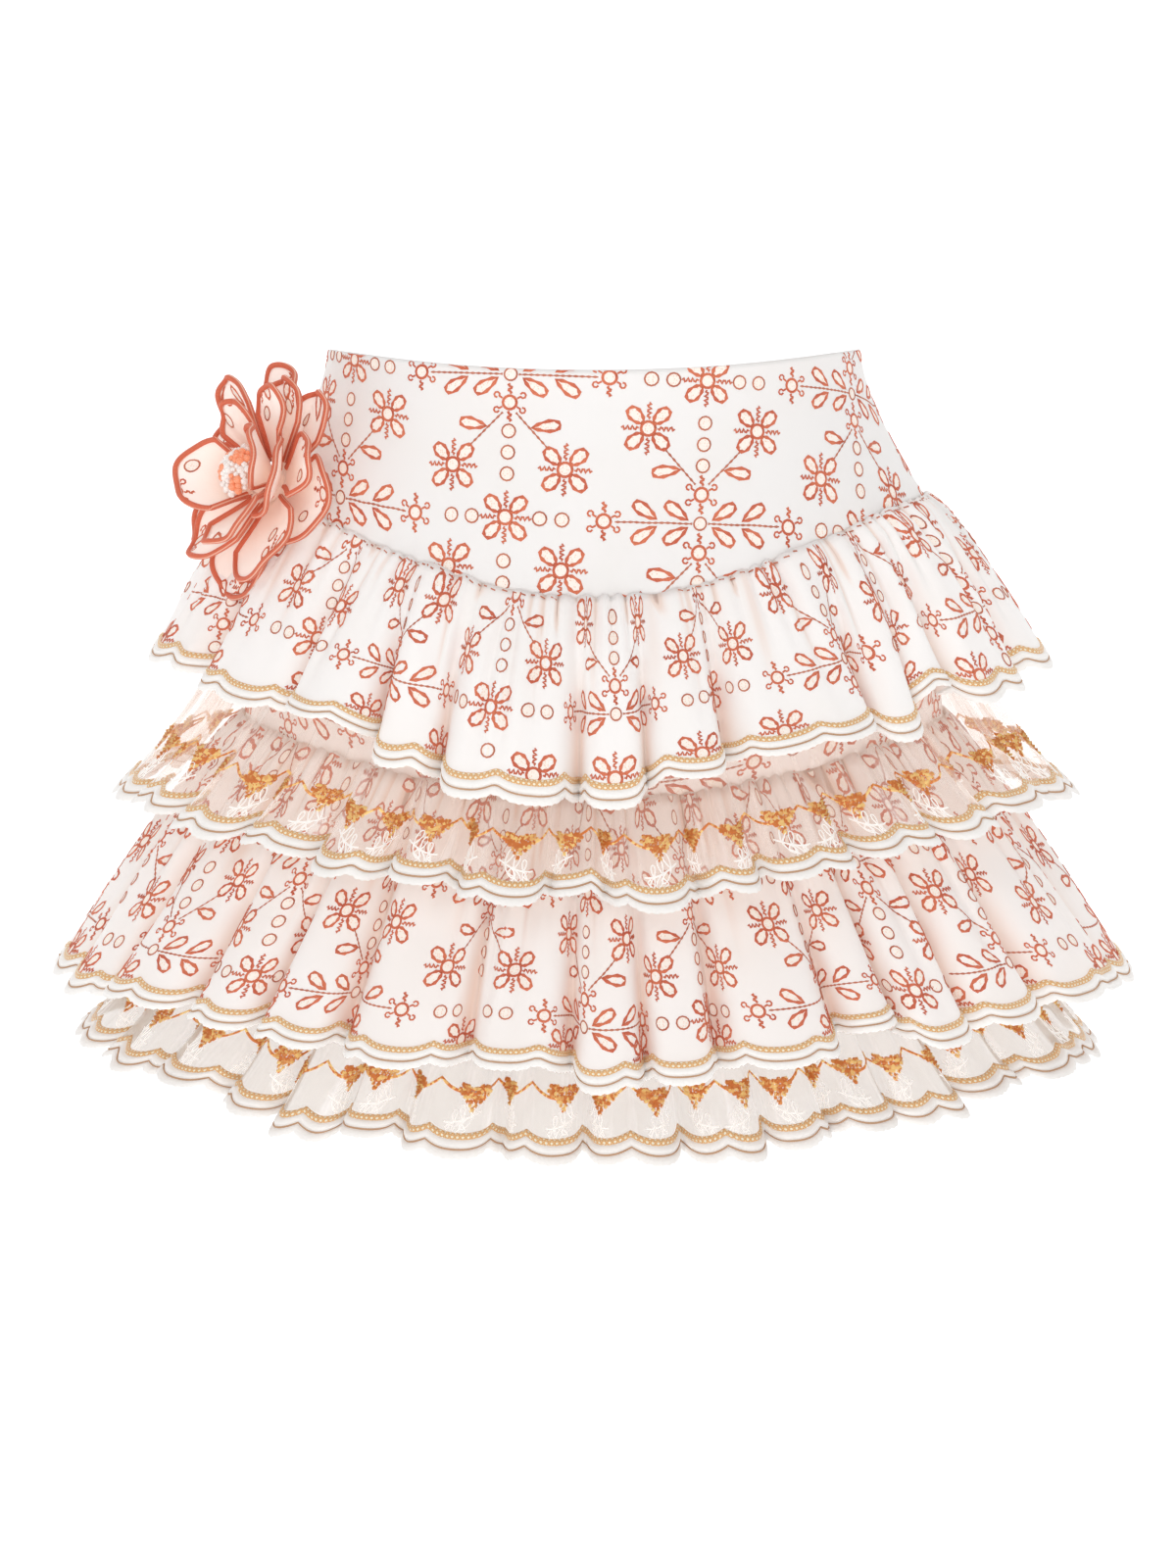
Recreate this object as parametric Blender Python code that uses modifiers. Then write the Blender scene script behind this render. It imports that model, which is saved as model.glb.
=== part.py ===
"""A short tiered skirt, filled out as on a wearer: a fitted hip yoke, four gathered tiers and a cloth flower.

Metres, +Z up, centre front towards -Y. The origin is the middle of the waist, at the height of its sides.
A turn is an angle round the skirt from centre front, positive towards +X. The side seams are at -90 and 90.
Left and right are the wearer's, so +X is the left side and the flower is on the right hip.
"""

import math
from collections import namedtuple

import bmesh
import bpy
import numpy as np
from mathutils import Matrix, Vector

# A level line is an oval round the skirt whose height dips at centre front and centre back.
Level = namedtuple("Level", "half_width half_depth side_height dip sharpness")
WAIST = Level(0.1215, 0.0925, 0.000, 0.0095, 2.0)
YOKE_SEAM = Level(0.1515, 0.1180, -0.067, 0.0400, 3.2)
NET_2_SEAM = Level(0.1570, 0.1240, -0.104, 0.0360, 3.0)
TIER_3_SEAM = Level(0.1620, 0.1300, -0.168, 0.0240, 2.8)
NET_4_SEAM = Level(0.1800, 0.1470, -0.243, 0.0160, 2.5)
TIER_1_HEM = Level(0.2060, 0.1730, -0.136, 0.0450, 2.5)
NET_2_HEM = Level(0.2210, 0.1880, -0.199, 0.0250, 2.8)
TIER_3_HEM = Level(0.2500, 0.2120, -0.281, 0.0130, 2.5)
NET_4_HEM = Level(0.2370, 0.2000, -0.312, 0.0160, 1.5)

YOKE_WALL = 0.0016
CLOTH_WALL = 0.0012
SEAM_GAP = 0.0003
MERGE_DISTANCE = 0.00001
# The yoke hugs the waist and springs out over the hip, so its half width grows as this power.
YOKE_SPRING = 1.5
YOKE_ROWS = 5
YOKE_FRONT_COLUMNS = 18
UNDERSKIRT_COLUMNS = 40
# Both lower pieces meet the yoke's edge: the underskirt inside its middle line, the first ruffle outside it.
SEAM_DROP = 0.0007
UNDERSKIRT_INSET = 0.0009
UNDERSKIRT_HEM = 0.0060
RUFFLE_STAND = 0.0007

# A lobe is one outward wave of a ruffle's hem. Each row has the turn in degrees where the lobe starts and, in
# millimetres, how far its crest stands out from the hem's oval and how far its hem hangs below that oval.
Lobe = namedtuple("Lobe", "start crest drop")
TIER_1_LOBES = (
    Lobe(-97.0, -2, 0),
    Lobe(-62.0, -3, -1),
    Lobe(-41.0, 5, -11),
    Lobe(-28.5, -2, 1),
    Lobe(-20.0, 4, 5),
    Lobe(-2.0, -1, 6),
    Lobe(6.5, 2, -4),
    Lobe(16.5, 6, -7),
    Lobe(37.5, -3, 5),
    Lobe(45.0, -7, -8),
    Lobe(52.0, 2, 5),
    Lobe(70.0, 4, 4),
)
NET_2_LOBES = (
    Lobe(-97.0, 0, 1),
    Lobe(-72.0, -2, -2),
    Lobe(-58.0, 1, 0),
    Lobe(-45.0, -1, -3),
    Lobe(-34.0, 2, 1),
    Lobe(-24.5, -2, -2),
    Lobe(-16.0, 2, 2),
    Lobe(-5.0, -3, -2),
    Lobe(1.0, 2, 4),
    Lobe(12.0, -1, 0),
    Lobe(19.0, 2, -3),
    Lobe(31.0, -1, -4),
    Lobe(43.5, 1, -2),
    Lobe(54.0, -2, -4),
    Lobe(72.0, 1, 1),
)
TIER_3_LOBES = (
    Lobe(-97.0, 1, 2),
    Lobe(-76.0, 0, 1),
    Lobe(-62.0, 1, -7),
    Lobe(-46.0, -1, -6),
    Lobe(-36.0, 2, -5),
    Lobe(-26.5, 1, -2),
    Lobe(-13.0, -1, -4),
    Lobe(-2.5, 3, 4),
    Lobe(5.0, -1, 2),
    Lobe(12.5, 3, -3),
    Lobe(25.5, -4, -12),
    Lobe(32.0, 2, -1),
    Lobe(41.0, 0, -3),
    Lobe(53.0, 1, -3),
    Lobe(74.0, 0, 4),
)
NET_4_LOBES = (
    Lobe(-97.0, 3, 0),
    Lobe(-72.0, -1, -2),
    Lobe(-56.0, 1, -7),
    Lobe(-44.0, -2, -2),
    Lobe(-36.5, 2, 3),
    Lobe(-28.0, -1, -2),
    Lobe(-21.0, 1, 2),
    Lobe(-10.0, 0, 3),
    Lobe(-1.0, 1, 3),
    Lobe(9.5, 2, 4),
    Lobe(18.5, -1, 1),
    Lobe(26.0, 0, -2),
    Lobe(34.0, 1, 0),
    Lobe(43.5, -2, -4),
    Lobe(54.0, 1, -2),
    Lobe(72.0, -3, 8),
)
FRONT_END = 97.0
# Round the back the lobes have the front's mean sizes, and wander from them by steps of the golden ratio.
BACK_WIDTH_SPREAD = 0.34
BACK_CREST = 1.2
BACK_CREST_SPREAD = 3.0
BACK_DROP_SPREAD = 4.0
WIDTH_STRIDE = 7
CREST_STRIDE = 3
GOLDEN = 0.6180339887

# valley is the depth from crest to fold, swell pushes a lobe's sides over the folds, both at the hem, and
# flare is the power of the way down by which the width grows: above 1 the cloth hangs first and then springs.
Ruffle = namedtuple("Ruffle", "name seam hem lobes back_lobes valley swell flare scallops rows color")
RUFFLES = (
    Ruffle("tier1_ruffle", YOKE_SEAM, TIER_1_HEM, TIER_1_LOBES, 10, 0.021, 0.0050, 0.90, 54, 4, "embroidered"),
    Ruffle("tier2_net_ruffle", NET_2_SEAM, NET_2_HEM, NET_2_LOBES, 13, 0.015, 0.0025, 1.70, 56, 3, "net"),
    Ruffle("tier3_ruffle", TIER_3_SEAM, TIER_3_HEM, TIER_3_LOBES, 13, 0.019, 0.0035, 1.00, 63, 4, "embroidered"),
    Ruffle("tier4_net_ruffle", NET_4_SEAM, NET_4_HEM, NET_4_LOBES, 13, 0.015, 0.0025, 1.50, 60, 3, "net"),
)
COLUMNS_PER_SCALLOP = 3
SCALLOP_DEPTH = 0.0036
# The folds between lobes are narrower than the lobes by about this share.
FOLD_SHARE = 0.42
# A lobe at least this many degrees wide swells fully, and a narrower one less, so no fold closes on itself.
FULL_SWELL_WIDTH = 20.0
HEM_SAMPLES = 3600

# The flower sits on the yoke at this turn and height. Its axis points this way round, and is lifted this far.
FLOWER_TURN = -65.0
FLOWER_HEIGHT = -0.063
FLOWER_FACING = -52.0
FLOWER_LIFT = 18.0
FLOWER_STANDOFF = 0.0060
BACKING_RADIUS = 0.0140
BACKING_THICKNESS = 0.0014
BACKING_SIDES = 24
STEM_FOOT_RADIUS = 0.0090
STEM_TOP_RADIUS = 0.0040
STEM_HEIGHT = 0.0210
FOOT_CLEARANCE = 0.0010
# Each petal, from the outermost ring inwards. turn is the way it points, in degrees round the flower from the
# viewer's right, and half_width is in degrees too. reach, foot, tip, cup and wave are in millimetres: how far it
# reaches, its foot's height up the stem, its tip's height, and how far its sides cup up and its edge waves.
# bend is the power its rise runs by, and start is where its wave starts.
Petal = namedtuple("Petal", "turn reach half_width foot tip bend cup wave start")
PETALS = (
    Petal(104.0, 53.0, 22.0, 1.4, 9.0, 1.3, 2.0, 2.4, 0.4),
    Petal(178.0, 32.0, 36.0, 1.4, 7.0, 1.3, 2.0, 0.8, 3.0),
    Petal(262.0, 54.0, 36.0, 1.4, 9.0, 1.3, 2.0, 1.8, 4.4),
    Petal(345.0, 48.0, 38.0, 1.4, 7.0, 1.3, 2.0, 2.0, 5.1),
    Petal(55.0, 50.0, 22.0, 1.4, 9.0, 1.3, 2.0, 2.0, 2.4),
    Petal(80.0, 47.0, 28.0, 3.8, 17.0, 1.2, 2.0, 2.0, 2.9),
    Petal(146.0, 43.0, 28.0, 3.8, 18.0, 1.2, 2.0, 1.6, 3.7),
    Petal(217.0, 44.0, 30.0, 3.8, 18.0, 1.2, 2.0, 1.4, 5.6),
    Petal(300.0, 50.0, 38.0, 3.8, 16.0, 1.2, 2.0, 2.0, 1.9),
    Petal(14.0, 44.0, 28.0, 3.8, 17.0, 1.2, 2.0, 2.0, 0.9),
    Petal(122.0, 49.0, 15.0, 6.6, 27.0, 1.1, 2.0, 1.2, 5.2),
    Petal(175.0, 33.0, 30.0, 6.6, 21.0, 1.2, 2.0, 0.8, 4.6),
    Petal(244.0, 43.0, 33.0, 6.6, 24.0, 1.2, 2.0, 1.6, 0.6),
    Petal(356.0, 36.0, 45.0, 6.6, 27.5, 1.1, 1.0, 2.0, 1.3),
    Petal(72.0, 40.0, 26.0, 6.6, 26.0, 1.1, 2.0, 1.8, 1.2),
    Petal(196.0, 28.0, 54.0, 9.8, 38.0, 1.0, 2.0, 0.6, 1.2),
    Petal(293.0, 38.0, 39.0, 9.8, 34.0, 1.1, 2.0, 1.4, 3.4),
    Petal(28.0, 25.0, 53.0, 9.8, 34.0, 1.0, 1.0, 1.2, 2.2),
    Petal(111.0, 31.0, 26.0, 9.8, 32.0, 1.1, 2.0, 1.0, 2.2),
)
PETAL_WALL = 0.0012
PETAL_ROWS = 4
PETAL_COLUMNS = 6
PETAL_WAIST = 0.75
PETAL_PINCH = 0.0010
TIP_ROUNDING = 0.36
CENTRE_RADIUS = 0.0110
CENTRE_HEIGHT = 0.0090
CENTRE_SIDES = 16
# Shares of the mound's radius and height, from its top down its side to its foot.
CENTRE_PROFILE = ((0.0, 1.0), (0.55, 0.92), (0.90, 0.66), (1.0, 0.36), (0.60, 0.0), (0.0, 0.0))

COLORS = {
    "embroidered": (0.93, 0.87, 0.83, 1.0, 0.75),
    "net": (0.95, 0.84, 0.76, 1.0, 0.55),
    "petal": (0.92, 0.55, 0.42, 1.0, 0.60),
    "bead": (0.90, 0.45, 0.32, 1.0, 0.20),
}


def clear_scene():
    for thing in list(bpy.data.objects):
        bpy.data.objects.remove(thing, do_unlink=True)


def material(kind):
    red, green, blue, alpha, roughness = COLORS[kind]
    found = bpy.data.materials.get(kind)
    if found:
        return found
    made = bpy.data.materials.new(kind)
    made.use_nodes = True
    shader = made.node_tree.nodes["Principled BSDF"]
    shader.inputs["Base Color"].default_value = (red, green, blue, alpha)
    shader.inputs["Roughness"].default_value = roughness
    shader.inputs["Metallic"].default_value = 0.0
    made.diffuse_color = (red, green, blue, alpha)
    return made


def lofted(name, rows, closed, kind):
    """An object whose faces join each row of points to the next. If closed, the last column joins the first."""
    mesh = bpy.data.meshes.new(name)
    shape = bmesh.new()
    lines = [[shape.verts.new(point) for point in row] for row in rows]
    columns = len(rows[0])
    for upper, lower in zip(lines, lines[1:]):
        for left in range(columns if closed else columns - 1):
            right = (left + 1) % columns
            shape.faces.new((upper[left], lower[left], lower[right], upper[right]))
    bmesh.ops.recalc_face_normals(shape, faces=shape.faces)
    shape.to_mesh(mesh)
    shape.free()
    mesh.shade_smooth()
    mesh.materials.append(material(kind))
    return bpy.data.objects.new(name, mesh)


def give_wall(thing, wall):
    """Thickens an open cloth surface equally to both sides."""
    solid = thing.modifiers.new("Wall", "SOLIDIFY")
    solid.thickness = wall
    solid.offset = 0.0
    return thing


def point_on(level, turn, outward=0.0, drop=0.0):
    """The point of a level line at a turn in radians, moved level out from the oval and down."""
    x = level.half_width * math.sin(turn)
    y = -level.half_depth * math.cos(turn)
    normal = Vector((math.sin(turn) * level.half_depth, -math.cos(turn) * level.half_width, 0.0)).normalized()
    height = level.side_height - level.dip * abs(math.cos(turn)) ** level.sharpness
    return Vector((x, y, height - drop)) + normal * outward


def mixed(first, last, share):
    return first + (last - first) * share


def blended(first, last, share, spring=1.0):
    """The level line at a share of the way down, with its width running as a power of that share."""
    return Level(
        mixed(first.half_width, last.half_width, share**spring),
        mixed(first.half_depth, last.half_depth, share**spring),
        mixed(first.side_height, last.side_height, share),
        mixed(first.dip, last.dip, share),
        mixed(first.sharpness, last.sharpness, share),
    )


def yoke_panel(name, first_turn, last_turn, columns):
    """One panel of the yoke, from the waist to its lower seam, with half a seam gap at each side."""
    rows = []
    for step in range(YOKE_ROWS + 1):
        level = blended(WAIST, YOKE_SEAM, step / YOKE_ROWS, YOKE_SPRING)
        half_gap = SEAM_GAP / 2 / level.half_depth
        turns = np.linspace(first_turn + half_gap, last_turn - half_gap, columns + 1)
        rows.append([point_on(level, turn) for turn in turns])
    return give_wall(lofted(name, rows, False, "embroidered"), YOKE_WALL)


def underskirt():
    """The cloth tube under the tiers. It hangs from the yoke's seam and carries the three lower tiers."""
    levels = [YOKE_SEAM, NET_2_SEAM, blended(NET_2_SEAM, TIER_3_SEAM, 0.5), TIER_3_SEAM]
    levels += [blended(TIER_3_SEAM, NET_4_SEAM, 0.5), NET_4_SEAM]
    turns = [math.tau * step / UNDERSKIRT_COLUMNS for step in range(UNDERSKIRT_COLUMNS)]
    rows = [[point_on(level, turn, -UNDERSKIRT_INSET, SEAM_DROP) for turn in turns] for level in levels]
    rows.append([point_on(levels[-1], turn, 0.0, UNDERSKIRT_HEM) for turn in turns])
    return give_wall(lofted("underskirt", rows, True, "embroidered"), CLOTH_WALL)


def wander(step, stride):
    """A number from -1 to 1 that never repeats from one step to the next."""
    return 2.0 * (GOLDEN * (step + 1) * stride % 1.0) - 1.0


def all_lobes(ruffle):
    """The front's lobes, then the back's."""
    widths = [1.0 + BACK_WIDTH_SPREAD * wander(step, WIDTH_STRIDE) for step in range(ruffle.back_lobes)]
    lobes = list(ruffle.lobes)
    room = 360.0 - 2.0 * FRONT_END
    start = FRONT_END
    for step, width in enumerate(widths):
        drift = wander(step, CREST_STRIDE)
        side = 1.0 if step % 2 else -1.0
        crest = side * (BACK_CREST + BACK_CREST_SPREAD * abs(drift) / 2.0)
        lobes.append(Lobe(start, crest, BACK_DROP_SPREAD * drift))
        start += room * width / sum(widths)
    return lobes


def hem_offsets(ruffle, turns):
    """How far the hem stands out, slides sideways and hangs below its oval at some turns, in metres."""
    lobes = all_lobes(ruffle)
    starts = np.array([lobe.start for lobe in lobes] + [lobes[0].start + 360.0])
    degrees = (np.degrees(turns) - starts[0]) % 360.0 + starts[0]
    index = np.clip(np.searchsorted(starts, degrees, side="right") - 1, 0, len(lobes) - 1)
    widths = np.diff(starts)[index]
    phase = (degrees - starts[index]) / widths
    rise = np.sin(math.pi * phase) ** 2
    bump = rise * (1.0 + FOLD_SHARE**2) / (rise + FOLD_SHARE**2)
    crests = np.array([lobe.crest for lobe in lobes]) / 1000.0
    drops = np.array([lobe.drop for lobe in lobes]) / 1000.0
    nearer = np.where(phase < 0.5, index - 1, (index + 1) % len(lobes))
    own = 0.5 + 0.5 * bump
    outward = bump * crests[index] - (1.0 - bump) * ruffle.valley
    swell = ruffle.swell * np.minimum(widths / FULL_SWELL_WIDTH, 1.0)
    sideways = -swell * np.sin(math.tau * phase)
    drop = own * drops[index] + (1.0 - own) * drops[nearer]
    return outward, sideways, drop


def surface_point(ruffle, share, turn, outward, sideways, drop):
    """A point of a ruffle at a share of the way from seam to hem. The hem's offsets grow downwards."""
    level = blended(ruffle.seam, ruffle.hem, share, ruffle.flare)
    point = point_on(level, turn, RUFFLE_STAND + share * outward, SEAM_DROP + share**2 * drop)
    tangent = Vector((level.half_width * math.cos(turn), level.half_depth * math.sin(turn), 0.0)).normalized()
    return point + tangent * share * sideways


def ruffle_row(ruffle, share, turns, lowered=0.0):
    """The ruffle's points at some turns, at a share of the way from seam to hem, lowered by the scallops."""
    outward, sideways, drop = hem_offsets(ruffle, turns)
    offsets = zip(turns, outward, sideways, drop + lowered)
    return [surface_point(ruffle, share, turn, out, side, down) for turn, out, side, down in offsets]


def ruffle_rows(ruffle):
    """Rows of points from seam to hem, in even steps of cloth along the hem, with scallops on the last."""
    fine = np.linspace(-math.pi, math.pi, HEM_SAMPLES + 1)
    hem_line = np.array(ruffle_row(ruffle, 1.0, fine))
    steps = np.linalg.norm(np.diff(hem_line, axis=0), axis=1)
    travelled = np.concatenate([[0.0], np.cumsum(steps)])
    along = np.arange(ruffle.scallops * COLUMNS_PER_SCALLOP) / (ruffle.scallops * COLUMNS_PER_SCALLOP)
    turns = np.interp(along * travelled[-1], travelled, fine)
    scallops = SCALLOP_DEPTH * (np.abs(np.sin(math.pi * along * ruffle.scallops)) - 0.5)
    rows = [ruffle_row(ruffle, step / ruffle.rows, turns) for step in range(ruffle.rows)]
    rows.append(ruffle_row(ruffle, 1.0, turns, scallops))
    return rows


def flower_frame():
    """The flower's place: its local +Z points away from the skirt and its +X to the viewer's right."""
    turn = math.radians(FLOWER_TURN)
    share = FLOWER_HEIGHT / YOKE_SEAM.side_height
    seat = point_on(blended(WAIST, YOKE_SEAM, share, YOKE_SPRING), turn)
    facing, lift = math.radians(FLOWER_FACING), math.radians(FLOWER_LIFT)
    axis = Vector((math.sin(facing) * math.cos(lift), -math.cos(facing) * math.cos(lift), math.sin(lift)))
    right = Vector((0.0, 0.0, 1.0)).cross(axis).normalized()
    up = axis.cross(right)
    place = Matrix((right, up, axis)).transposed().to_4x4()
    place.translation = Vector((seat.x, seat.y, FLOWER_HEIGHT)) + axis * FLOWER_STANDOFF
    return place


def turned(name, profile, steps, kind):
    """A round solid from a closed profile of radius and height, which runs down its outer side."""
    mesh = bpy.data.meshes.new(name)
    points = [(radius, 0.0, height) for radius, height in profile]
    mesh.from_pydata(points, [(step, step + 1) for step in range(len(points) - 1)], [])
    mesh.materials.append(material(kind))
    thing = bpy.data.objects.new(name, mesh)
    screw = thing.modifiers.new("Turn", "SCREW")
    screw.steps = steps
    screw.render_steps = steps
    screw.use_merge_vertices = True
    screw.merge_threshold = MERGE_DISTANCE
    return thing


def petal_point(petal, along, across):
    """A point of a petal's surface. across runs from -1 to 1 over its width, along from its foot to its tip."""
    lift = petal.foot / 1000.0
    stem = mixed(STEM_FOOT_RADIUS, STEM_TOP_RADIUS, lift / (STEM_HEIGHT - BACKING_THICKNESS))
    foot, base = stem + FOOT_CLEARANCE, BACKING_THICKNESS + lift
    along = along * (1.0 - TIP_ROUNDING * across**2)
    spread = PETAL_WAIST + (1.0 - PETAL_WAIST) * math.sin(0.72 * math.pi * along)
    angle = math.radians(petal.turn) + math.radians(petal.half_width) * across * spread
    wave = petal.wave / 1000.0 * along**2
    radius = mixed(foot, petal.reach / 1000.0, along) - PETAL_PINCH * across**2 * along
    radius += 0.8 * wave * math.cos(3.4 * across + petal.start)
    height = mixed(base, petal.tip / 1000.0, along**petal.bend) + petal.cup / 1000.0 * across**2 * along
    height += wave * math.sin(4.2 * across + petal.start)
    return radius * math.cos(angle), radius * math.sin(angle), height


def petal_solid(name, petal):
    """One cupped petal with a waving edge, lofted from its foot to its tip."""
    rows = []
    for row in range(PETAL_ROWS + 1):
        shares = [2.0 * column / PETAL_COLUMNS - 1.0 for column in range(PETAL_COLUMNS + 1)]
        rows.append([petal_point(petal, row / PETAL_ROWS, across) for across in shares])
    return give_wall(lofted(name, rows, False, "petal"), PETAL_WALL)


def flower():
    """The corsage: a cloth backing with a stem, rings of petals round it, and a mound for the beads."""
    backing = turned(
        "flower_backing",
        (
            (0.0, STEM_HEIGHT),
            (STEM_TOP_RADIUS, STEM_HEIGHT),
            (STEM_FOOT_RADIUS, BACKING_THICKNESS),
            (BACKING_RADIUS, BACKING_THICKNESS),
            (BACKING_RADIUS, 0.0),
            (0.0, 0.0),
        ),
        BACKING_SIDES,
        "petal",
    )
    foot = STEM_HEIGHT + SEAM_GAP
    mound = [(CENTRE_RADIUS * radius, foot + CENTRE_HEIGHT * height) for radius, height in CENTRE_PROFILE]
    centre = turned("flower_centre", mound, CENTRE_SIDES, "bead")
    petals = [petal_solid(f"flower_petal_{place + 1:02d}", petal) for place, petal in enumerate(PETALS)]
    pieces = [backing, centre] + petals
    place = flower_frame()
    for piece in pieces:
        piece.matrix_world = place
    return pieces


def main():
    clear_scene()
    skirt = bpy.data.collections.new("tiered_skirt")
    bpy.context.scene.collection.children.link(skirt)
    quarter = math.pi / 2
    pieces = [
        yoke_panel("yoke_front", -quarter, quarter, YOKE_FRONT_COLUMNS),
        yoke_panel("yoke_back_left", quarter, 2 * quarter, YOKE_FRONT_COLUMNS // 2),
        yoke_panel("yoke_back_right", 2 * quarter, 3 * quarter, YOKE_FRONT_COLUMNS // 2),
        underskirt(),
    ]
    for ruffle in RUFFLES:
        pieces.append(give_wall(lofted(ruffle.name, ruffle_rows(ruffle), True, ruffle.color), CLOTH_WALL))
    pieces += flower()
    for piece in pieces:
        skirt.objects.link(piece)


main()
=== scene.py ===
import math
from collections import namedtuple

import bmesh
import bpy
import numpy as np
from mathutils import Matrix, Vector


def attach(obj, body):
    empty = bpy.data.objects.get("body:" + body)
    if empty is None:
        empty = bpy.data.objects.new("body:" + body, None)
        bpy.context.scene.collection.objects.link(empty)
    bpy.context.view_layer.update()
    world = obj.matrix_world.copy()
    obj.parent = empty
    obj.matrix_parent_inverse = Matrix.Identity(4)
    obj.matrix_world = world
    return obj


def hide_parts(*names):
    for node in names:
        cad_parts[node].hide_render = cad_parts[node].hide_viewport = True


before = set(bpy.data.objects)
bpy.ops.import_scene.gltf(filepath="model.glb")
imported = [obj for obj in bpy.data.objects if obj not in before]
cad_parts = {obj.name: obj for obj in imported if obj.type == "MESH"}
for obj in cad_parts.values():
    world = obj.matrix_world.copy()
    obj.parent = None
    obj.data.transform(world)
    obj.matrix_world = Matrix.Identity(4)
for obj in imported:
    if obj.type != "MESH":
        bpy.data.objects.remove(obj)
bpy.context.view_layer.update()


# The yoke is the smooth part over the hips: one panel of satiny cotton across the front and two at the back,
# seamed at the sides and at centre back. It is fitted, with no gathers, and its upper edge is turned in.
Level = namedtuple("Level", "half_width half_depth side_height dip sharpness")
WAIST = Level(0.1215, 0.0925, 0.000, 0.0095, 2.0)
YOKE_SEAM = Level(0.1515, 0.1180, -0.067, 0.0400, 3.2)
YOKE_SPRING = 1.5
YOKE_STAND = 0.0006
YOKE_CLOTH = 0.0011
SEAM_ROLL = 0.0005
SEAM_ROLL_WIDTH = 0.0022
SEAM_GAP = 0.0004
# How far the panel leans in at the turned edge, is pulled in by the gathers under it, and sags between.
EDGE_LEAN = 0.0003
GATHER_PULL = 0.0004
PANEL_SAG = 0.0005


def level_points(level, turns, outward=0.0, drop=0.0):
    """Points on a level line at some turns from centre front, moved out from the oval and down."""
    across, ahead = np.sin(turns), np.cos(turns)
    x, y = level.half_width * across, -level.half_depth * ahead
    normal_x, normal_y = level.half_depth * across, -level.half_width * ahead
    size = np.hypot(normal_x, normal_y)
    z = level.side_height - level.dip * np.abs(ahead) ** level.sharpness - drop
    x, y = x + outward * normal_x / size, y + outward * normal_y / size
    return np.stack(np.broadcast_arrays(x, y, z), axis=-1)


def between(first, last, share, spring=1.0):
    """The level line at a share of the way down, with its width running as a power of that share."""
    share = np.maximum(share, 0.0)
    widths = [low + (high - low) * share**spring for low, high in zip(first[:2], last[:2])]
    return Level(*widths, *[low + (high - low) * share for low, high in zip(first[2:], last[2:])])


def soft_step(low, high, value):
    """Runs smoothly from 0 at the low value to 1 at the high one."""
    share = np.clip((value - low) / (high - low), 0.0, 1.0)
    return share * share * (3.0 - 2.0 * share)


def run_along(path):
    """How far along a path each of its points lies."""
    return np.concatenate([[0.0], np.cumsum(np.linalg.norm(np.diff(path, axis=0), axis=1))])


def line_lengths(points, axis):
    """The lengths of the lines of points that run along one axis of a grid."""
    return np.linalg.norm(np.diff(points, axis=axis), axis=2).sum(axis=axis)


class Cloth:
    """A piece of cloth as an even grid of points on the skirt, with its real size.

    A place on it is metres along it from its middle column, and metres down it from its upper edge.
    Its width may be one number for each row, and its reach is each column's share of the length."""

    def __init__(self, points, width, length, closed, reach=1.0):
        self.points, self.closed = points, closed
        self.rows, self.columns = points.shape[0] - 1, points.shape[1] - (0 if closed else 1)
        self.width = np.broadcast_to(np.asarray(width, float), (self.rows + 1,))
        self.length = length
        self.reach = np.broadcast_to(np.asarray(reach, float), (points.shape[1],))
        if closed:
            wrapped = np.concatenate([points[:, -1:], points, points[:, :1]], axis=1)
            along = (wrapped[:, 2:] - wrapped[:, :-2]) / 2.0
        else:
            along = np.gradient(points, axis=1)
        normals = np.cross(np.gradient(points, axis=0), along)
        self.normals = normals / np.linalg.norm(normals, axis=-1, keepdims=True)

    def reach_at(self, along):
        """The length of the cloth at some places along it."""
        column = (along / self.width[-1] + 0.5) * self.columns
        steps = np.arange(len(self.reach))
        if self.closed:
            return self.length * np.interp(column, steps, self.reach, period=self.columns)
        return self.length * np.interp(column, steps, self.reach)

    def at(self, along, down, lift=0.0):
        """Points of the skirt for some places on the cloth, lifted off its outer face."""
        row = down / self.reach_at(along) * self.rows
        width = np.interp(row, np.arange(self.rows + 1), self.width)
        column = (along / width + 0.5) * self.columns
        if self.closed:
            column = column % self.columns
            left = np.minimum(column.astype(int), self.columns - 1)
            right = (left + 1) % self.columns
        else:
            left = np.clip(column.astype(int), 0, self.columns - 1)
            right = left + 1
        upper = np.clip(row.astype(int), 0, self.rows - 1)
        across, below = (column - left)[:, None], (row - upper)[:, None]

        def mixed(grid):
            top = grid[upper, left] * (1.0 - across) + grid[upper, right] * across
            bottom = grid[upper + 1, left] * (1.0 - across) + grid[upper + 1, right] * across
            return top * (1.0 - below) + bottom * below

        return mixed(self.points) + mixed(self.normals) * np.reshape(lift, (-1, 1))


class Value:
    """A value in a material's nodes. Python's signs add the Math nodes."""

    def __init__(self, finish, socket):
        self.finish, self.socket = finish, socket

    def math(self, operation, first, second=0.0):
        return self.finish.node("ShaderNodeMath", {"operation": operation}, {0: first, 1: second})

    def __add__(self, other):
        return self.math("ADD", self, other)

    def __sub__(self, other):
        return self.math("SUBTRACT", self, other)

    def __mul__(self, other):
        return self.math("MULTIPLY", self, other)

    def __truediv__(self, other):
        return self.math("DIVIDE", self, other)

    def __pow__(self, other):
        return self.math("POWER", self, other)

    def __rsub__(self, other):
        return self.math("SUBTRACT", other, self)

    __radd__ = __add__
    __rmul__ = __mul__


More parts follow.
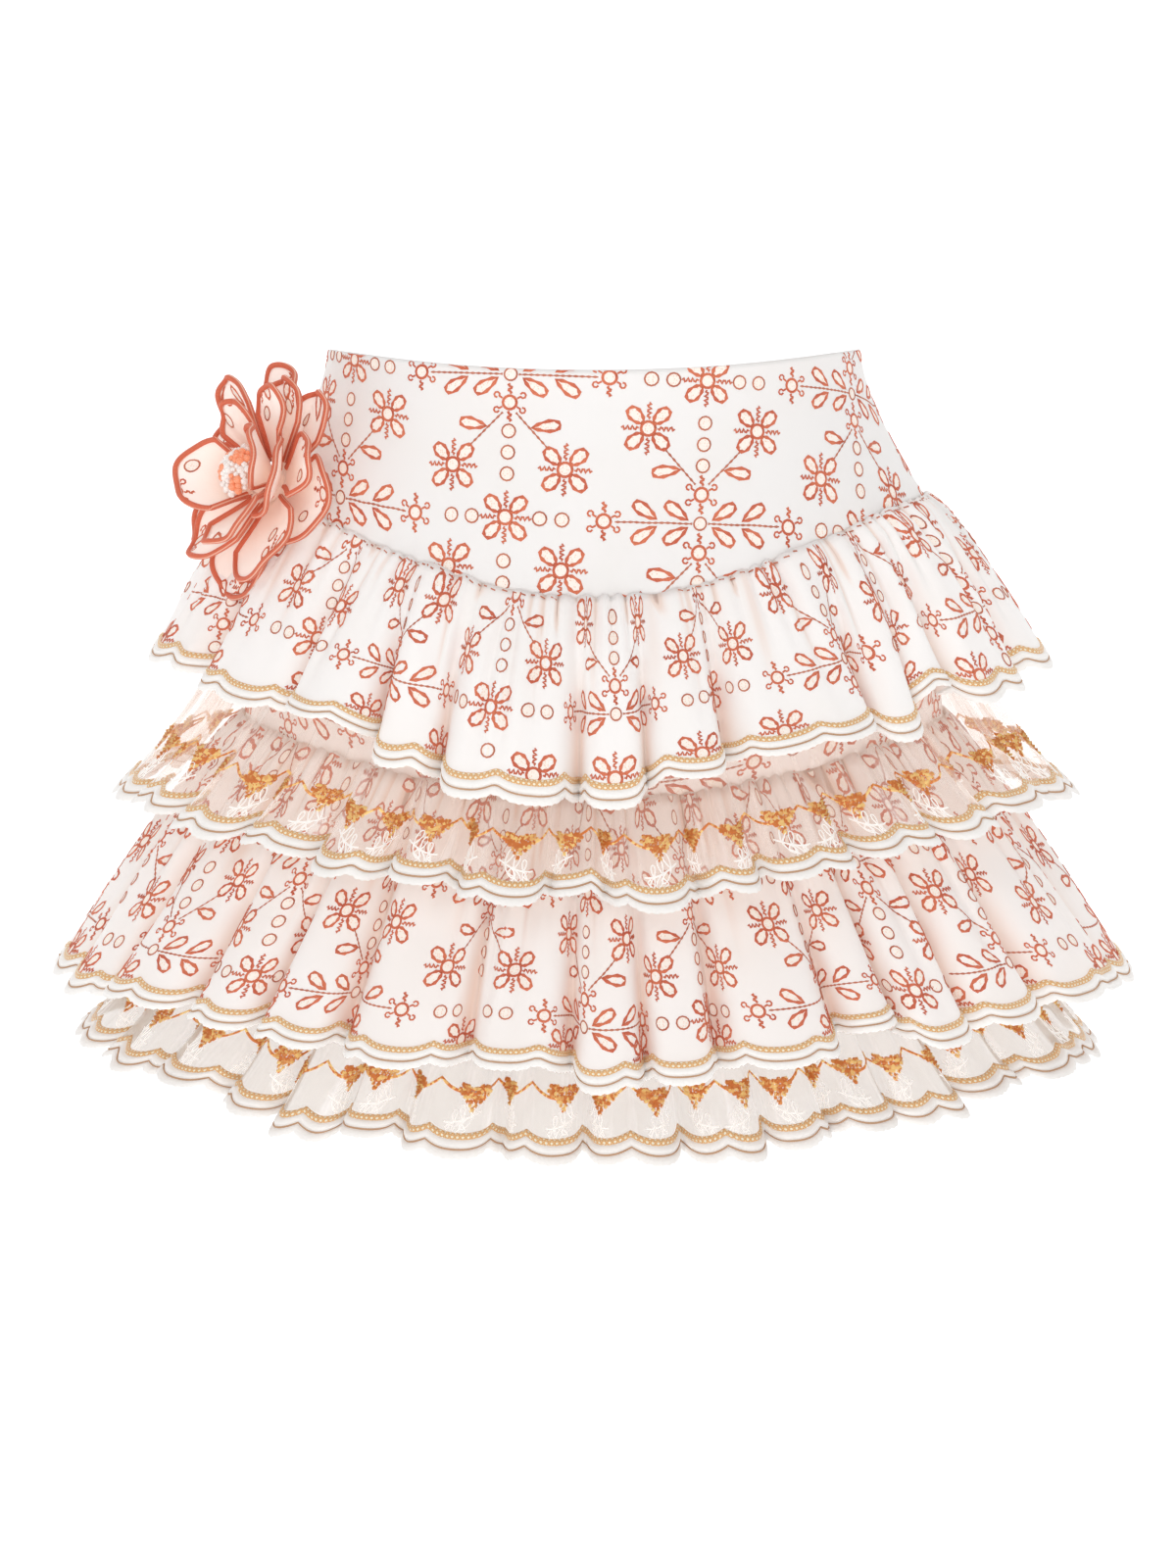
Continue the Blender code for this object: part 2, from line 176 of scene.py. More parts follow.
class Finish:
    """A material, its Principled shader, and the one way in which other nodes are added to it."""

    def __init__(self, name, **constants):
        self.material = bpy.data.materials.new(name)
        self.material.use_nodes = True
        self.tree = self.material.node_tree
        self.shader = self.tree.nodes["Principled BSDF"]
        for key, value in constants.items():
            self.shader.inputs[key.replace("_", " ")].default_value = value

    def node(self, kind, settings, inputs, output=0):
        made = self.tree.nodes.new(kind)
        for key, value in settings.items():
            setattr(made, key, value)
        for key, value in inputs.items():
            self.feed(made.inputs[key], value)
        return Value(self, made.outputs[output])

    def feed(self, socket, value):
        if isinstance(value, Value):
            self.tree.links.new(value.socket, socket)
        else:
            socket.default_value = value

    def set(self, socket, value):
        self.feed(self.shader.inputs[socket], value)

    def glow(self, strength, colour):
        """A faint light given off by the surface itself. On the cloth, trims and beads it is painted light
        that stands in for the light that thin or shiny things pass on. On the backdrop it keeps the paper
        evenly white.
        """
        self.shader.inputs["Emission Strength"].default_value = strength
        self.shader.inputs["Emission Color"].default_value = colour

    def mix(self, share, first, second):
        """A colour between two, by a share."""
        return self.node("ShaderNodeMix", {"data_type": "RGBA"}, {0: share, 6: first, 7: second}, 2)

    def ramp(self, value, low, high, to_low=0.0, to_high=1.0):
        """A smooth run between two values."""
        settings = {"interpolation_type": "SMOOTHSTEP"}
        return self.node("ShaderNodeMapRange", settings, {0: value, 1: low, 2: high, 3: to_low, 4: to_high})

    def place(self):
        """The place on the cloth, in metres along and down."""
        return self.node("ShaderNodeUVMap", {"uv_map": "cloth"}, {})

    def parts(self, vector):
        split = self.node("ShaderNodeSeparateXYZ", {}, {0: vector})
        return split, Value(self, split.socket.node.outputs[1]), Value(self, split.socket.node.outputs[2])

    def noise(self, scale, detail=2.0, vector=None):
        inputs = {"Scale": scale, "Detail": detail}
        if vector is not None:
            inputs["Vector"] = vector
        return self.node("ShaderNodeTexNoise", {}, inputs)

    def scaled(self, vector, amounts):
        return self.node("ShaderNodeVectorMath", {"operation": "MULTIPLY"}, {0: vector, 1: amounts})

    def bump(self, height, distance, strength=1.0):
        """Feeds a height to the shader's normal through one Bump node."""
        inputs = {"Height": height, "Distance": distance, "Strength": strength}
        self.set("Normal", self.node("ShaderNodeBump", {}, inputs))


def rgb(red, green, blue):
    """A screen colour of 0 to 255 as the linear values that nodes take."""
    shares = (red / 255, green / 255, blue / 255)
    linear = [share / 12.92 if share <= 0.04045 else ((share + 0.055) / 1.055) ** 2.4 for share in shares]
    return (*linear, 1.0)


# The cotton's threads in a metre.
WEAVE = 2400.0


def cotton_finish(name, glow, light):
    """Smooth close cotton, warm white with a soft sheen, with painted shade in its folds: peach in their
    hollows and grey-brown in the deepest creases.

    glow is a painted glow that stands in for the light coming through the thin cloth, and light is its
    colour."""
    cotton = Finish(name, Roughness=0.58, Sheen_Weight=0.25, Sheen_Roughness=0.4, Specular_IOR_Level=0.35)
    cotton.glow(glow, light)
    place = cotton.place()
    fold_shade = cotton.node("ShaderNodeAttribute", {"attribute_name": "fold_shade"}, {}, 2)
    cloudy = cotton.ramp(cotton.noise(18.0, 2.0, place), 0.35, 0.70)
    tint = cotton.mix(cloudy * 0.5, rgb(250, 248, 247), rgb(248, 244, 241))
    # Painted shade: peach in the hollows of the folds, then grey-brown in the deepest creases.
    painted_fold_shade = cotton.mix(cotton.ramp(fold_shade, 0.0, 0.62), tint, rgb(240, 220, 209))
    cotton.set("Base Color", cotton.mix(cotton.ramp(fold_shade, 0.66, 1.0), painted_fold_shade, rgb(196, 166, 152)))
    along, down, _ = cotton.parts(cotton.scaled(place, (WEAVE * math.tau, WEAVE * math.tau, 1.0)))
    weave = along.math("SINE", along) * down.math("SINE", down)
    soft = cotton.noise(160.0, 3.0, place)
    cotton.bump(weave * 0.35 + soft, 0.00012, 0.5)
    return cotton.material


# The yoke's cotton has no glow. The gathered cottons have a painted glow that lightens their shade: nearly
# white on the first ruffle, peach on the underskirt and the third ruffle.
COTTON = cotton_finish("embroidered_cotton", 0.0, rgb(255, 255, 255))
UPPER_COTTON = cotton_finish("upper_gathered_cotton", 0.07, rgb(255, 240, 232))
PEACH_GLOW_COTTON = cotton_finish("lower_gathered_cotton", 0.07, rgb(255, 206, 178))


def mesh_piece(name, points, faces, finishes, place=None, finish_of_face=None, fold_shade=None):
    """A mesh object. place holds each vertex's place on the cloth, and the last argument how deep each vertex
    lies in the folds, for the shade painted there.
    """
    mesh = bpy.data.meshes.new(name)
    mesh.from_pydata(points.tolist(), [], [list(face) for face in faces])
    for finish in finishes:
        mesh.materials.append(finish)
    if finish_of_face is not None:
        mesh.polygons.foreach_set("material_index", np.asarray(finish_of_face, np.int32))
    if place is not None:
        corners = np.zeros(len(mesh.loops), np.int32)
        mesh.loops.foreach_get("vertex_index", corners)
        layer = mesh.uv_layers.new(name="cloth")
        layer.data.foreach_set("uv", np.asarray(place, np.float32)[corners].ravel())
    if fold_shade is not None:
        depths = mesh.attributes.new("fold_shade", "FLOAT", "POINT").data
        depths.foreach_set("value", np.asarray(fold_shade, np.float32).ravel())
    mesh.shade_smooth()
    mesh.update()
    piece = bpy.data.objects.new(name, mesh)
    bpy.context.scene.collection.objects.link(piece)
    return piece


def grid_faces(rows, columns, closed):
    """Faces between rows of points, facing out of the skirt. columns counts the faces in a row."""
    count = columns if closed else columns + 1
    upper = np.arange(rows)[:, None] * count
    left = np.arange(columns)[None, :]
    right = (left + 1) % count
    corners = (upper + left, upper + count + left, upper + count + right, upper + right)
    return np.stack(np.broadcast_arrays(*corners), -1).reshape(-1, 4)


def cloth_piece(name, cloth, thickness, finish, fold_shade=None):
    """The cloth itself as a thin shell, with its thickness inside its outer face."""
    rows, columns = cloth.points.shape[:2]
    along = (np.arange(columns) / cloth.columns - 0.5)[None, :] * cloth.width[:, None]
    down = np.arange(rows)[:, None] / cloth.rows * cloth.length * cloth.reach[None, :]
    place = np.stack([along, down], -1).reshape(-1, 2)
    faces = grid_faces(cloth.rows, cloth.columns, cloth.closed)
    shades = np.zeros((rows, columns)) if fold_shade is None else fold_shade
    piece = mesh_piece(name, cloth.points.reshape(-1, 3), faces, [finish], place, None, shades)
    if thickness:
        shell = piece.modifiers.new("Thickness", "SOLIDIFY")
        shell.thickness = thickness
        shell.offset = -1.0
    return piece


def even_turns(level, first, last, count):
    """Turns that are evenly spaced in metres along a level line."""
    fine = np.linspace(first, last, 2001)
    travelled = run_along(level_points(level, fine))
    return np.interp(np.linspace(0.0, travelled[-1], count + 1), travelled, fine)


def yoke_cloth(first, last, columns, rows):
    """A yoke panel's cloth between two turns, with its ends rolled in a little at their seams."""
    shares = np.linspace(0.0, 1.0, rows + 1)[:, None]
    middle = between(WAIST, YOKE_SEAM, 0.5, YOKE_SPRING)
    half_gap = SEAM_GAP / 2.0 / middle.half_depth
    turns = even_turns(middle, first + half_gap, last - half_gap, columns)[None, :]
    level = between(WAIST, YOKE_SEAM, shares, YOKE_SPRING)
    points = level_points(level, turns)
    widths = line_lengths(points, 1)
    length = line_lengths(points, 0).mean()
    from_end = np.minimum(np.arange(columns + 1), columns - np.arange(columns + 1)) / columns * widths.mean()
    roll = (1.0 - soft_step(0.0, SEAM_ROLL_WIDTH, from_end))[None, :] * SEAM_ROLL
    lean = (1.0 - soft_step(0.0, 0.02, shares)) * EDGE_LEAN
    waver = np.sin(turns * 61.0 + 2.0 * np.sin(turns * 9.0)) - 0.2
    pull = GATHER_PULL * soft_step(0.72, 1.0, shares) * waver
    sag = PANEL_SAG * np.sin(turns * 7.0 + 4.0 * shares) * np.sin(math.pi * shares)
    points = level_points(level, turns, YOKE_STAND - roll - lean + pull + sag)
    return Cloth(points, widths, length, False, line_lengths(points, 0) / length)


QUARTER = math.pi / 2.0
YOKE_PANELS = {
    "yoke_front": yoke_cloth(-QUARTER, QUARTER, 130, 36),
    "yoke_back_left": yoke_cloth(QUARTER, 2.0 * QUARTER, 64, 32),
    "yoke_back_right": yoke_cloth(2.0 * QUARTER, 3.0 * QUARTER, 64, 32),
}
# Each panel's cut, in metres: its widest width and its length, and its flat area.
YOKE_CUTS = {
    "yoke_front": ((0.430, 0.104), 0.0350),
    "yoke_back_left": ((0.215, 0.104), 0.0175),
    "yoke_back_right": ((0.215, 0.104), 0.0175),
}
yoke_pieces = {}
for node, cloth in YOKE_PANELS.items():
    piece = cloth_piece(node + "_cloth", cloth, YOKE_CLOTH, COTTON)
    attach(piece, "root")
    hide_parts(node)
    yoke_pieces[node] = piece


# The embroidery is worked in shiny coral thread on the flat cotton before it is cut: flowers, stars, leaves
# on roped stems and corded eyelets, in one half-drop repeat. Each line of thread stands up as a ridge.
THREAD = 0.00150
THREAD_RISE = 0.00042
FINE_THREAD = 0.00100
FINE_RISE = 0.00026
CORD_THREAD = 0.00086
OPENWORK_RISE = 0.00010
# How much wider and narrower the stitches of an outline and of a stem are in turn.
OUTLINE_RAGGED, STEM_RAGGED = 0.30, 0.45


def thread_finish(name, light, main, deep, roughness):
    """Shiny embroidery thread: slanted stitches side by side, in patches of the main and the deep colour,
    with the light colour painted as a highlight along each stitch's crown.
    """
    thread = Finish(name, Roughness=roughness, Specular_IOR_Level=0.25)
    along, across, _ = thread.parts(thread.scaled(thread.place(), (1.0 / 0.00062, 1.0, 1.0)))
    slant = along + across * 0.9
    stitch = slant.math("PINGPONG", slant, 0.5) * 2.0
    patch = thread.ramp(thread.noise(90.0, 2.0, thread.node("ShaderNodeTexCoord", {}, {}, 3)), 0.40, 0.68)
    body = thread.mix(patch, main, deep)
    crown = thread.ramp(stitch, 0.45, 0.95)
    thread.set("Base Color", thread.mix(crown * 0.55, body, light))
    thread.bump(stitch, 0.0003, 0.6)
    return thread.material


def openwork_finish(name):
    """The insides of petals and eyelets: cream cotton pricked all over with tiny coral stitches."""
    work = Finish(name, Roughness=0.7, Sheen_Weight=0.1)
    # A painted peach glow that lightens the work where it lies in shade.
    work.glow(0.07, rgb(255, 220, 190))
    dots = work.node("ShaderNodeTexVoronoi", {}, {"Scale": 1000.0, "Randomness": 0.7, "Vector": work.place()})
    pricks = 1.0 - work.ramp(dots, 0.22, 0.42)
    work.set("Base Color", work.mix(pricks * 0.5, rgb(252, 244, 236), rgb(226, 172, 140)))
    work.bump(dots, 0.0003, 0.5)
    return work.material


# The first colour of each thread is the highlight painted along its stitches' crowns.
CORAL = thread_finish("coral_thread", rgb(250, 182, 146), rgb(229, 114, 80), rgb(208, 84, 58), 0.5)
CORD = thread_finish("eyelet_cord", rgb(236, 172, 142), rgb(212, 124, 96), rgb(190, 98, 74), 0.5)
OPENWORK = openwork_finish("openwork")
NEEDLEWORK = [CORAL, CORD, OPENWORK]
IN_CORAL, IN_CORD, IN_OPENWORK = 0, 1, 2


Work = namedtuple("Work", "points places quads kinds owners motifs")


class Flat:
    """Needlework laid out flat: vertices as along, down and rise in metres, faces, and each face's finish.

    Each motif in it has a middle and a reach, so that a copy of the work can leave out whole motifs."""

    def __init__(self):
        self.points, self.places, self.quads, self.kinds, self.owners = [], [], [], [], []
        self.motifs, self.count = [], 0

    def motif(self, along, down, reach):
        self.motifs.append((along, down, reach))

    def add(self, points, places, quads, kind):
        self.points.append(np.asarray(points, float))
        self.places.append(np.asarray(places, float))
        self.quads.append(np.asarray(quads, int) + self.count)
        self.kinds.append(np.full(len(quads), kind))
        self.owners.append(np.full(len(quads), max(len(self.motifs) - 1, 0)))
        self.count += len(points)

    def line(self, path, width, rise, kind, closed=False, ragged=0.0):
        """A ridge of thread along a path. ragged moves every second stitch's ends in and out."""
        path = np.asarray(path, float)
        count = len(path)
        if closed:
            ahead = np.roll(path, -1, axis=0) - np.roll(path, 1, axis=0)
        else:
            ahead = np.gradient(path, axis=0)
        ahead = ahead / np.maximum(np.linalg.norm(ahead, axis=1, keepdims=True), 1e-9)
        side = np.stack([ahead[:, 1], -ahead[:, 0]], axis=1)
        half = width / 2.0 * (1.0 + ragged * (1.0 - 2.0 * (np.arange(count) % 2)))[:, None]
        points = np.zeros((count, 3, 3))
        points[:, 0, :2], points[:, 1, :2], points[:, 2, :2] = path + side * half, path, path - side * half
        points[:, 0, 2] = points[:, 2, 2] = 0.00004
        points[:, 1, 2] = rise
        places = np.zeros((count, 3, 2))
        places[:, :, 0] = run_along(path)[:, None]
        places[:, 1, 1], places[:, 2, 1] = 0.5, 1.0
        last = count if closed else count - 1
        here = np.arange(last)[:, None] * 3
        after = (np.arange(last)[:, None] + 1) % count * 3
        left = np.concatenate([here, here + 1, after + 1, after], axis=1)
        right = np.concatenate([here + 1, here + 2, after + 2, after + 1], axis=1)
        self.add(points.reshape(-1, 3), places.reshape(-1, 2), np.concatenate([left, right]), kind)

    def filled(self, outline, rise, kind):
        """A closed outline filled in with a low patch."""
        outline = np.asarray(outline, float)
        count = len(outline)
        middle = outline.mean(axis=0)
        area = np.sum(outline[:, 0] * np.roll(outline[:, 1], -1) - np.roll(outline[:, 0], -1) * outline[:, 1])
        ring = outline[::-1] if area > 0.0 else outline
        points = np.zeros((count + 1, 3))
        points[:count, :2], points[count, :2] = ring, middle
        points[:, 2] = rise
        here = np.arange(0, count, 2)
        quads = np.stack([here, (here + 1) % count, (here + 2) % count, np.full(len(here), count)], axis=1)
        self.add(points, points[:, :2], quads, kind)

    def joined(self):
        lots = (self.points, self.places, self.quads, self.kinds, self.owners)
        return Work(*map(np.concatenate, lots), np.array(self.motifs or [(0.0, 0.0, 0.0)]))


def circle(x, y, radius, sides):
    angles = np.arange(sides) * math.tau / sides
    return np.stack([x + radius * np.cos(angles), y + radius * np.sin(angles)], axis=1)


def aimed(x, y, angle, run, side):
    """Points that run out from a centre and to the side. angle is the way, in degrees from the right."""
    cos, sin = math.cos(math.radians(angle)), math.sin(math.radians(angle))
    return np.stack([x + run * cos - side * sin, y + run * sin + side * cos], axis=1)


def teardrop(x, y, angle, start, length, width, sides):
    """A leaf or petal outline: a point near its start, and a round outer end."""
    angles = np.arange(sides) * math.tau / sides
    along = 0.5 - 0.5 * np.cos(angles)
    across = 0.5 * np.sin(angles) * (0.28 + 0.92 * along**0.8)
    run, side = start + length * along, width * across
    return aimed(x, y, angle, run, side)


def lens(x, y, angle, start, length, width, sides):
    """A petal that narrows to both its ends, a little fuller towards its outer end."""
    turn = np.linspace(0.0, math.tau, sides, endpoint=False)
    run = start + length * 0.5 * (1.0 - np.cos(turn))
    side = width * 0.5 * np.sin(turn) * (0.92 - 0.22 * np.cos(turn))
    return aimed(x, y, angle, run, side)


def squiggle(x, y, angle, start, length, swing, turns_count, steps):
    """A short zigzag ray of stitches running out from a centre."""
    share = np.linspace(0.0, 1.0, steps)
    run = start + length * share
    fullness = np.sqrt(np.clip(4.0 * share * (1.15 - share), 0.0, 1.0))
    side = swing * np.sin(math.tau * turns_count * share) * fullness
    return aimed(x, y, angle, run, side)


# The sizes of the motifs' parts in metres: how far from the middle each starts, its length, and its width or
# swing. A zigzag ray also has its count of waves, and an outline or a ray has its count of points.
FLOWER_REACH, FLOWER_RING, STAR_REACH, STAR_RING = 0.0120, 0.0031, 0.0072, 0.0030
FLOWER_PETAL = (0.0036, 0.0086, 0.0056, 14)
FLOWER_RAY = (0.0042, 0.0074, 0.0011, 3.5, 12)
STAR_RAY = (0.0040, 0.0044, 0.0011, 2.0, 10)
STAR_CURL = (0.0038, 0.0042)


def stitch_leaf(flat, x, y, angle, start, length, width):
    flat.motif(x, y, length)
    outline = teardrop(x, y, angle, start, length, width, 14)
    flat.filled(outline, OPENWORK_RISE, IN_OPENWORK)
    flat.line(outline, THREAD, THREAD_RISE, IN_CORAL, True, OUTLINE_RAGGED)


def stitch_ring(flat, x, y, radius, width, kind, sides=12, alone=True):
    if alone:
        flat.motif(x, y, radius)
    outline = circle(x, y, radius, sides)
    flat.filled(outline, OPENWORK_RISE, IN_OPENWORK)
    flat.line(outline, width, THREAD_RISE, kind, True)


def stitch_flower(flat, x, y, angles=(45.0, 135.0, 225.0, 315.0), rays=(0.0, 90.0, 180.0, 270.0)):
    """Four round petals on the diagonals, a corded centre, and a zigzag ray between each two petals."""
    flat.motif(x, y, FLOWER_REACH)
    for angle in angles:
        outline = lens(x, y, angle, *FLOWER_PETAL)
        flat.filled(outline, OPENWORK_RISE, IN_OPENWORK)
        flat.line(outline, THREAD, THREAD_RISE, IN_CORAL, True, OUTLINE_RAGGED)
    stitch_ring(flat, x, y, FLOWER_RING, THREAD * 0.9, IN_CORAL, 14, False)
    for angle in rays:
        flat.line(squiggle(x, y, angle, *FLOWER_RAY), FINE_THREAD, FINE_RISE, IN_CORAL)


def curl(x, y, angle, start, length):
    """A short ray of stitches that ends in a small closed loop."""
    turn = np.linspace(0.0, 1.72 * math.pi, 7)
    run = np.concatenate([[start, start + length * 0.4], start + length * 0.7 - length * 0.3 * np.cos(turn)])
    side = np.concatenate([[0.0, 0.0], length * 0.3 * np.sin(turn)])
    return aimed(x, y, angle, run, side)


def stitch_star(flat, x, y):
    """A small corded ring with zigzag rays above and below, and two curled rays to each side."""
    flat.motif(x, y, STAR_REACH)
    stitch_ring(flat, x, y, STAR_RING, THREAD * 0.9, IN_CORAL, 14, False)
    for angle in (90.0, 270.0):
        flat.line(squiggle(x, y, angle, *STAR_RAY), FINE_THREAD, FINE_RISE, IN_CORAL)
    for angle in (30.0, 150.0, 210.0, 330.0):
        flat.line(curl(x, y, angle, *STAR_CURL), FINE_THREAD * 0.9, FINE_RISE, IN_CORAL)


def stitch_stem(flat, first, last, stitches):
    """A roped stem of short slanted stitches from one point to another."""
    flat.motif((first[0] + last[0]) / 2.0, (first[1] + last[1]) / 2.0, abs(last[1] - first[1]) / 2.0)
    share = np.linspace(0.0, 1.0, stitches)[:, None]
    path = np.array(first) + (np.array(last) - np.array(first)) * share
    flat.line(path, FINE_THREAD * 0.80, FINE_RISE, IN_CORD, False, STEM_RAGGED)


# The repeat's places in metres from the middle of its cross. down is towards the hem.
REPEAT_ALONG, REPEAT_DOWN = 0.0856, 0.0637
EYELET_RADIUS = 0.0030
EYELETS_DOWN = (0.0255, 0.0350, 0.0446)
EYELETS_ALONG = (0.0606, 0.0703)
STARS_ALONG = 0.0426
STARS_DOWN = 0.0127
STEM_ENDS = (0.0036, 0.0378)
SPRAY_FLOWER = (0.0254, 0.0416)
Leaf = namedtuple("Leaf", "along down angle length width")
CROSS_LEAVES = (Leaf(0.0060, 0.0019, 34.0, 0.0118, 0.0054), Leaf(0.0200, 0.0019, 34.0, 0.0118, 0.0054))
SPRAY_LEAF = Leaf(0.0106, 0.0236, -8.0, 0.0120, 0.0052)


def quarter_leaf(flat, leaf, hand, side):
    """A leaf of the repeat in one of the four quarters round its cross."""
    angle = leaf.angle * side if hand > 0.0 else 180.0 - leaf.angle * side
    stitch_leaf(flat, hand * leaf.along, side * leaf.down, angle, 0.0, leaf.length, leaf.width)


def repeat_needlework():
    """One repeat of the embroidery round its cross, and the flower halfway to the next cross in its row."""
    flat = Flat()
    stitch_ring(flat, 0.0, 0.0, 0.0028, CORD_THREAD, IN_CORD, 14)
    for side in (-1.0, 1.0):
        stitch_stem(flat, (side * STEM_ENDS[0], 0.0), (side * STEM_ENDS[1], 0.0), 26)
        stitch_star(flat, side * STARS_ALONG, 0.0)
        for along in EYELETS_ALONG:
            stitch_ring(flat, side * along, 0.0, EYELET_RADIUS, CORD_THREAD, IN_CORD)
        for down in EYELETS_DOWN:
            stitch_ring(flat, 0.0, side * down, EYELET_RADIUS, CORD_THREAD, IN_CORD)
        star = side * STARS_DOWN
        stitch_star(flat, 0.0, star)
        for hand in (-1.0, 1.0):
            for leaf in CROSS_LEAVES:
                quarter_leaf(flat, leaf, hand, side)
            flower_x, flower_y = hand * SPRAY_FLOWER[0], side * SPRAY_FLOWER[1]
            stitch_flower(flat, flower_x, flower_y)
            stem_start = (hand * 0.0030, star + side * 0.0045)
            stitch_stem(flat, stem_start, (flower_x * 0.72, flower_y * 0.80), 16)
            quarter_leaf(flat, SPRAY_LEAF, hand, side)
    stitch_flower(flat, REPEAT_ALONG, 0.0)
    return flat.joined()


REPEAT = repeat_needlework()
# How near a panel's edges its needlework comes.
PANEL_MARGIN = 0.0004


def laid_out(template, centres, slope=0.0, kept=None):
    """Copies of flat work at some centres on the cloth, turned by a slope. kept says which have room."""
    points, places, quads, kinds, owners, motifs = template
    cos, sin = math.cos(slope), math.sin(slope)
    x, y, rise = points.T
    turned = np.stack([x * cos - y * sin, x * sin + y * cos, rise], 1)
    shift = np.array([(along, down, 0.0) for along, down in centres])
    all_points = (turned[None] + shift[:, None]).reshape(-1, 3)
    all_quads = (quads[None] + np.arange(len(centres))[:, None, None] * len(points)).reshape(-1, 4)
    all_kinds = np.tile(kinds, len(centres))
    if kept is not None:
        along = shift[:, :1] + motifs[None, :, 0] * cos - motifs[None, :, 1] * sin
        down = shift[:, 1:2] + motifs[None, :, 0] * sin + motifs[None, :, 1] * cos
        chosen = kept(along, down, np.broadcast_to(motifs[None, :, 2], along.shape))[:, owners].ravel()
        all_quads, all_kinds = all_quads[chosen], all_kinds[chosen]
    return all_points, np.tile(places, (len(centres), 1)), all_quads, all_kinds


def above_hem(cloth, margin):
    """The lower limit of needlework that stops short of a cloth's lower edge by a margin."""
    return lambda along: cloth.reach_at(along) - margin


def needlework_piece(name, cloth, flat, top, bottom):
    """Flat needlework sewn to a cloth. What runs past the top or bottom or a panel's ends is cut off."""
    points, places, quads, kinds = flat
    along, down, rise = points[:, 0].copy(), points[:, 1].copy(), points[:, 2]
    lowest = bottom(along)
    inside = (down > top) & (down < lowest)
    if not cloth.closed:
        row = np.clip(down / cloth.length * cloth.rows, 0, cloth.rows)
        half = np.interp(row, np.arange(cloth.rows + 1), cloth.width) / 2.0 - PANEL_MARGIN
        inside &= np.abs(along) < half
        along = np.clip(along, -half, half)
    down = np.clip(down, top, lowest)
    kept = inside[quads].any(axis=1)
    quads, kinds = quads[kept], kinds[kept]
    used = np.unique(quads)
    renumbered = np.zeros(len(points), int)
    renumbered[used] = np.arange(len(used))
    on_cloth = cloth.at(along[used], down[used], rise[used])
    piece = mesh_piece(name, on_cloth, renumbered[quads], NEEDLEWORK, places[used], kinds)
    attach(piece, "root")
    return piece


def lattice(along_range, down_range, cross, along_step, down_step, slope=0.0):
    """Where the repeat's crosses reach a stretch of cloth, every second row moved by half a repeat."""
    found = []
    for row in range(-8, 9):
        for column in range(-16, 17):
            if (row + column) % 2:
                continue
            run, fall = column * along_step, row * down_step
            along = cross[0] + run * math.cos(slope) - fall * math.sin(slope)
            down = cross[1] + run * math.sin(slope) + fall * math.cos(slope)
            if along_range[0] < along < along_range[1] and down_range[0] < down < down_range[1]:
                found.append((along, down))
    return found


# On the yoke the repeat runs a little downhill to the viewer's right. The back's panels mirror each other.
YOKE_CROSS = (-0.0363, 0.0035)
YOKE_SLOPE = 0.046
# The yoke's curved cut bends the rows of the repeat. They fall, in metres, with the way from a middle column,
# by a fixed fall, a tilt and a bend, and the bend has its limits to each side.
BOW_CROSS, BOW_FALL, BOW_TILT, BOW_BEND = 0.0493, -0.0007, 0.0595, 0.71
BOW_LIMITS = (-0.13, 0.115)
BACK_CROSSES = {"yoke_back_left": (0.0020, 0.0300), "yoke_back_right": (-0.0020, 0.0300)}
for node, cloth in YOKE_PANELS.items():
    cross = BACK_CROSSES.get(node, YOKE_CROSS)
    slope = 0.0 if node in BACK_CROSSES else YOKE_SLOPE
    reach = cloth.width.max() / 2.0 + 0.095
    centres = lattice((-reach, reach), (-0.07, cloth.length + 0.07), cross, REPEAT_ALONG, REPEAT_DOWN, slope)
    flat = laid_out(REPEAT, centres, slope)
    if node == "yoke_front":
        away = np.clip(flat[0][:, 0] - BOW_CROSS, *BOW_LIMITS)
        flat[0][:, 1] += BOW_FALL + BOW_TILT * away + BOW_BEND * away**2
    limit = above_hem(cloth, PANEL_MARGIN)
    work = needlework_piece(node + "_embroidery", cloth, flat, PANEL_MARGIN, limit)
    piece, (size, area) = yoke_pieces[node], YOKE_CUTS[node]


# The underskirt is a plain tube of the same embroidered cotton, sewn into the yoke's seam. It carries the
# three lower ruffles, and its embroidery shows through the net.
NET_2_SEAM = Level(0.1570, 0.1240, -0.104, 0.0360, 3.0)
TIER_3_SEAM = Level(0.1620, 0.1300, -0.168, 0.0240, 2.8)
NET_4_SEAM = Level(0.1800, 0.1470, -0.243, 0.0160, 2.5)
SEAM_DROP = 0.0007
UNDERSKIRT_INSET = 0.0004
UNDERSKIRT_HEM = 0.0060
UNDERSKIRT_CLOTH = 0.0008
UNDERSKIRT_SHARES = (0.0, 0.21, 0.58, 1.0)
UNDERSKIRT_SWAY = 0.0006
# Its cut, in metres: its width and its length, and its flat area.
UNDERSKIRT_CUT = ((1.04, 0.195), 0.175)
# Where the embroidery that shows through the net begins and ends, in metres down the underskirt.
SHOWN_FROM, SHOWN_TO = 0.040, 0.104
UNDERSKIRT_CROSS = (0.022, 0.086)


def underskirt_cloth(columns, rows):
    shares = np.linspace(0.0, 1.0, rows + 1)[:, None]
    turns = (np.arange(columns) / columns * math.tau - math.pi)[None, :]
    levels = (YOKE_SEAM, NET_2_SEAM, TIER_3_SEAM, NET_4_SEAM)
    level = Level(*[np.interp(shares, UNDERSKIRT_SHARES, sizes) for sizes in zip(*levels)])
    waver = np.sin(turns * 23.0 + 3.0 * np.sin(turns * 5.0))
    sway = UNDERSKIRT_SWAY * waver * np.sin(math.pi * shares)
    drop = SEAM_DROP + UNDERSKIRT_HEM * soft_step(0.9, 1.0, shares)
    points = level_points(level, turns, sway - UNDERSKIRT_INSET, drop)
    widths = np.linalg.norm(points - np.roll(points, 1, axis=1), axis=2).sum(axis=1)
    lengths = line_lengths(points, 0)
    return Cloth(points, widths, lengths.mean(), True, lengths / lengths.mean())


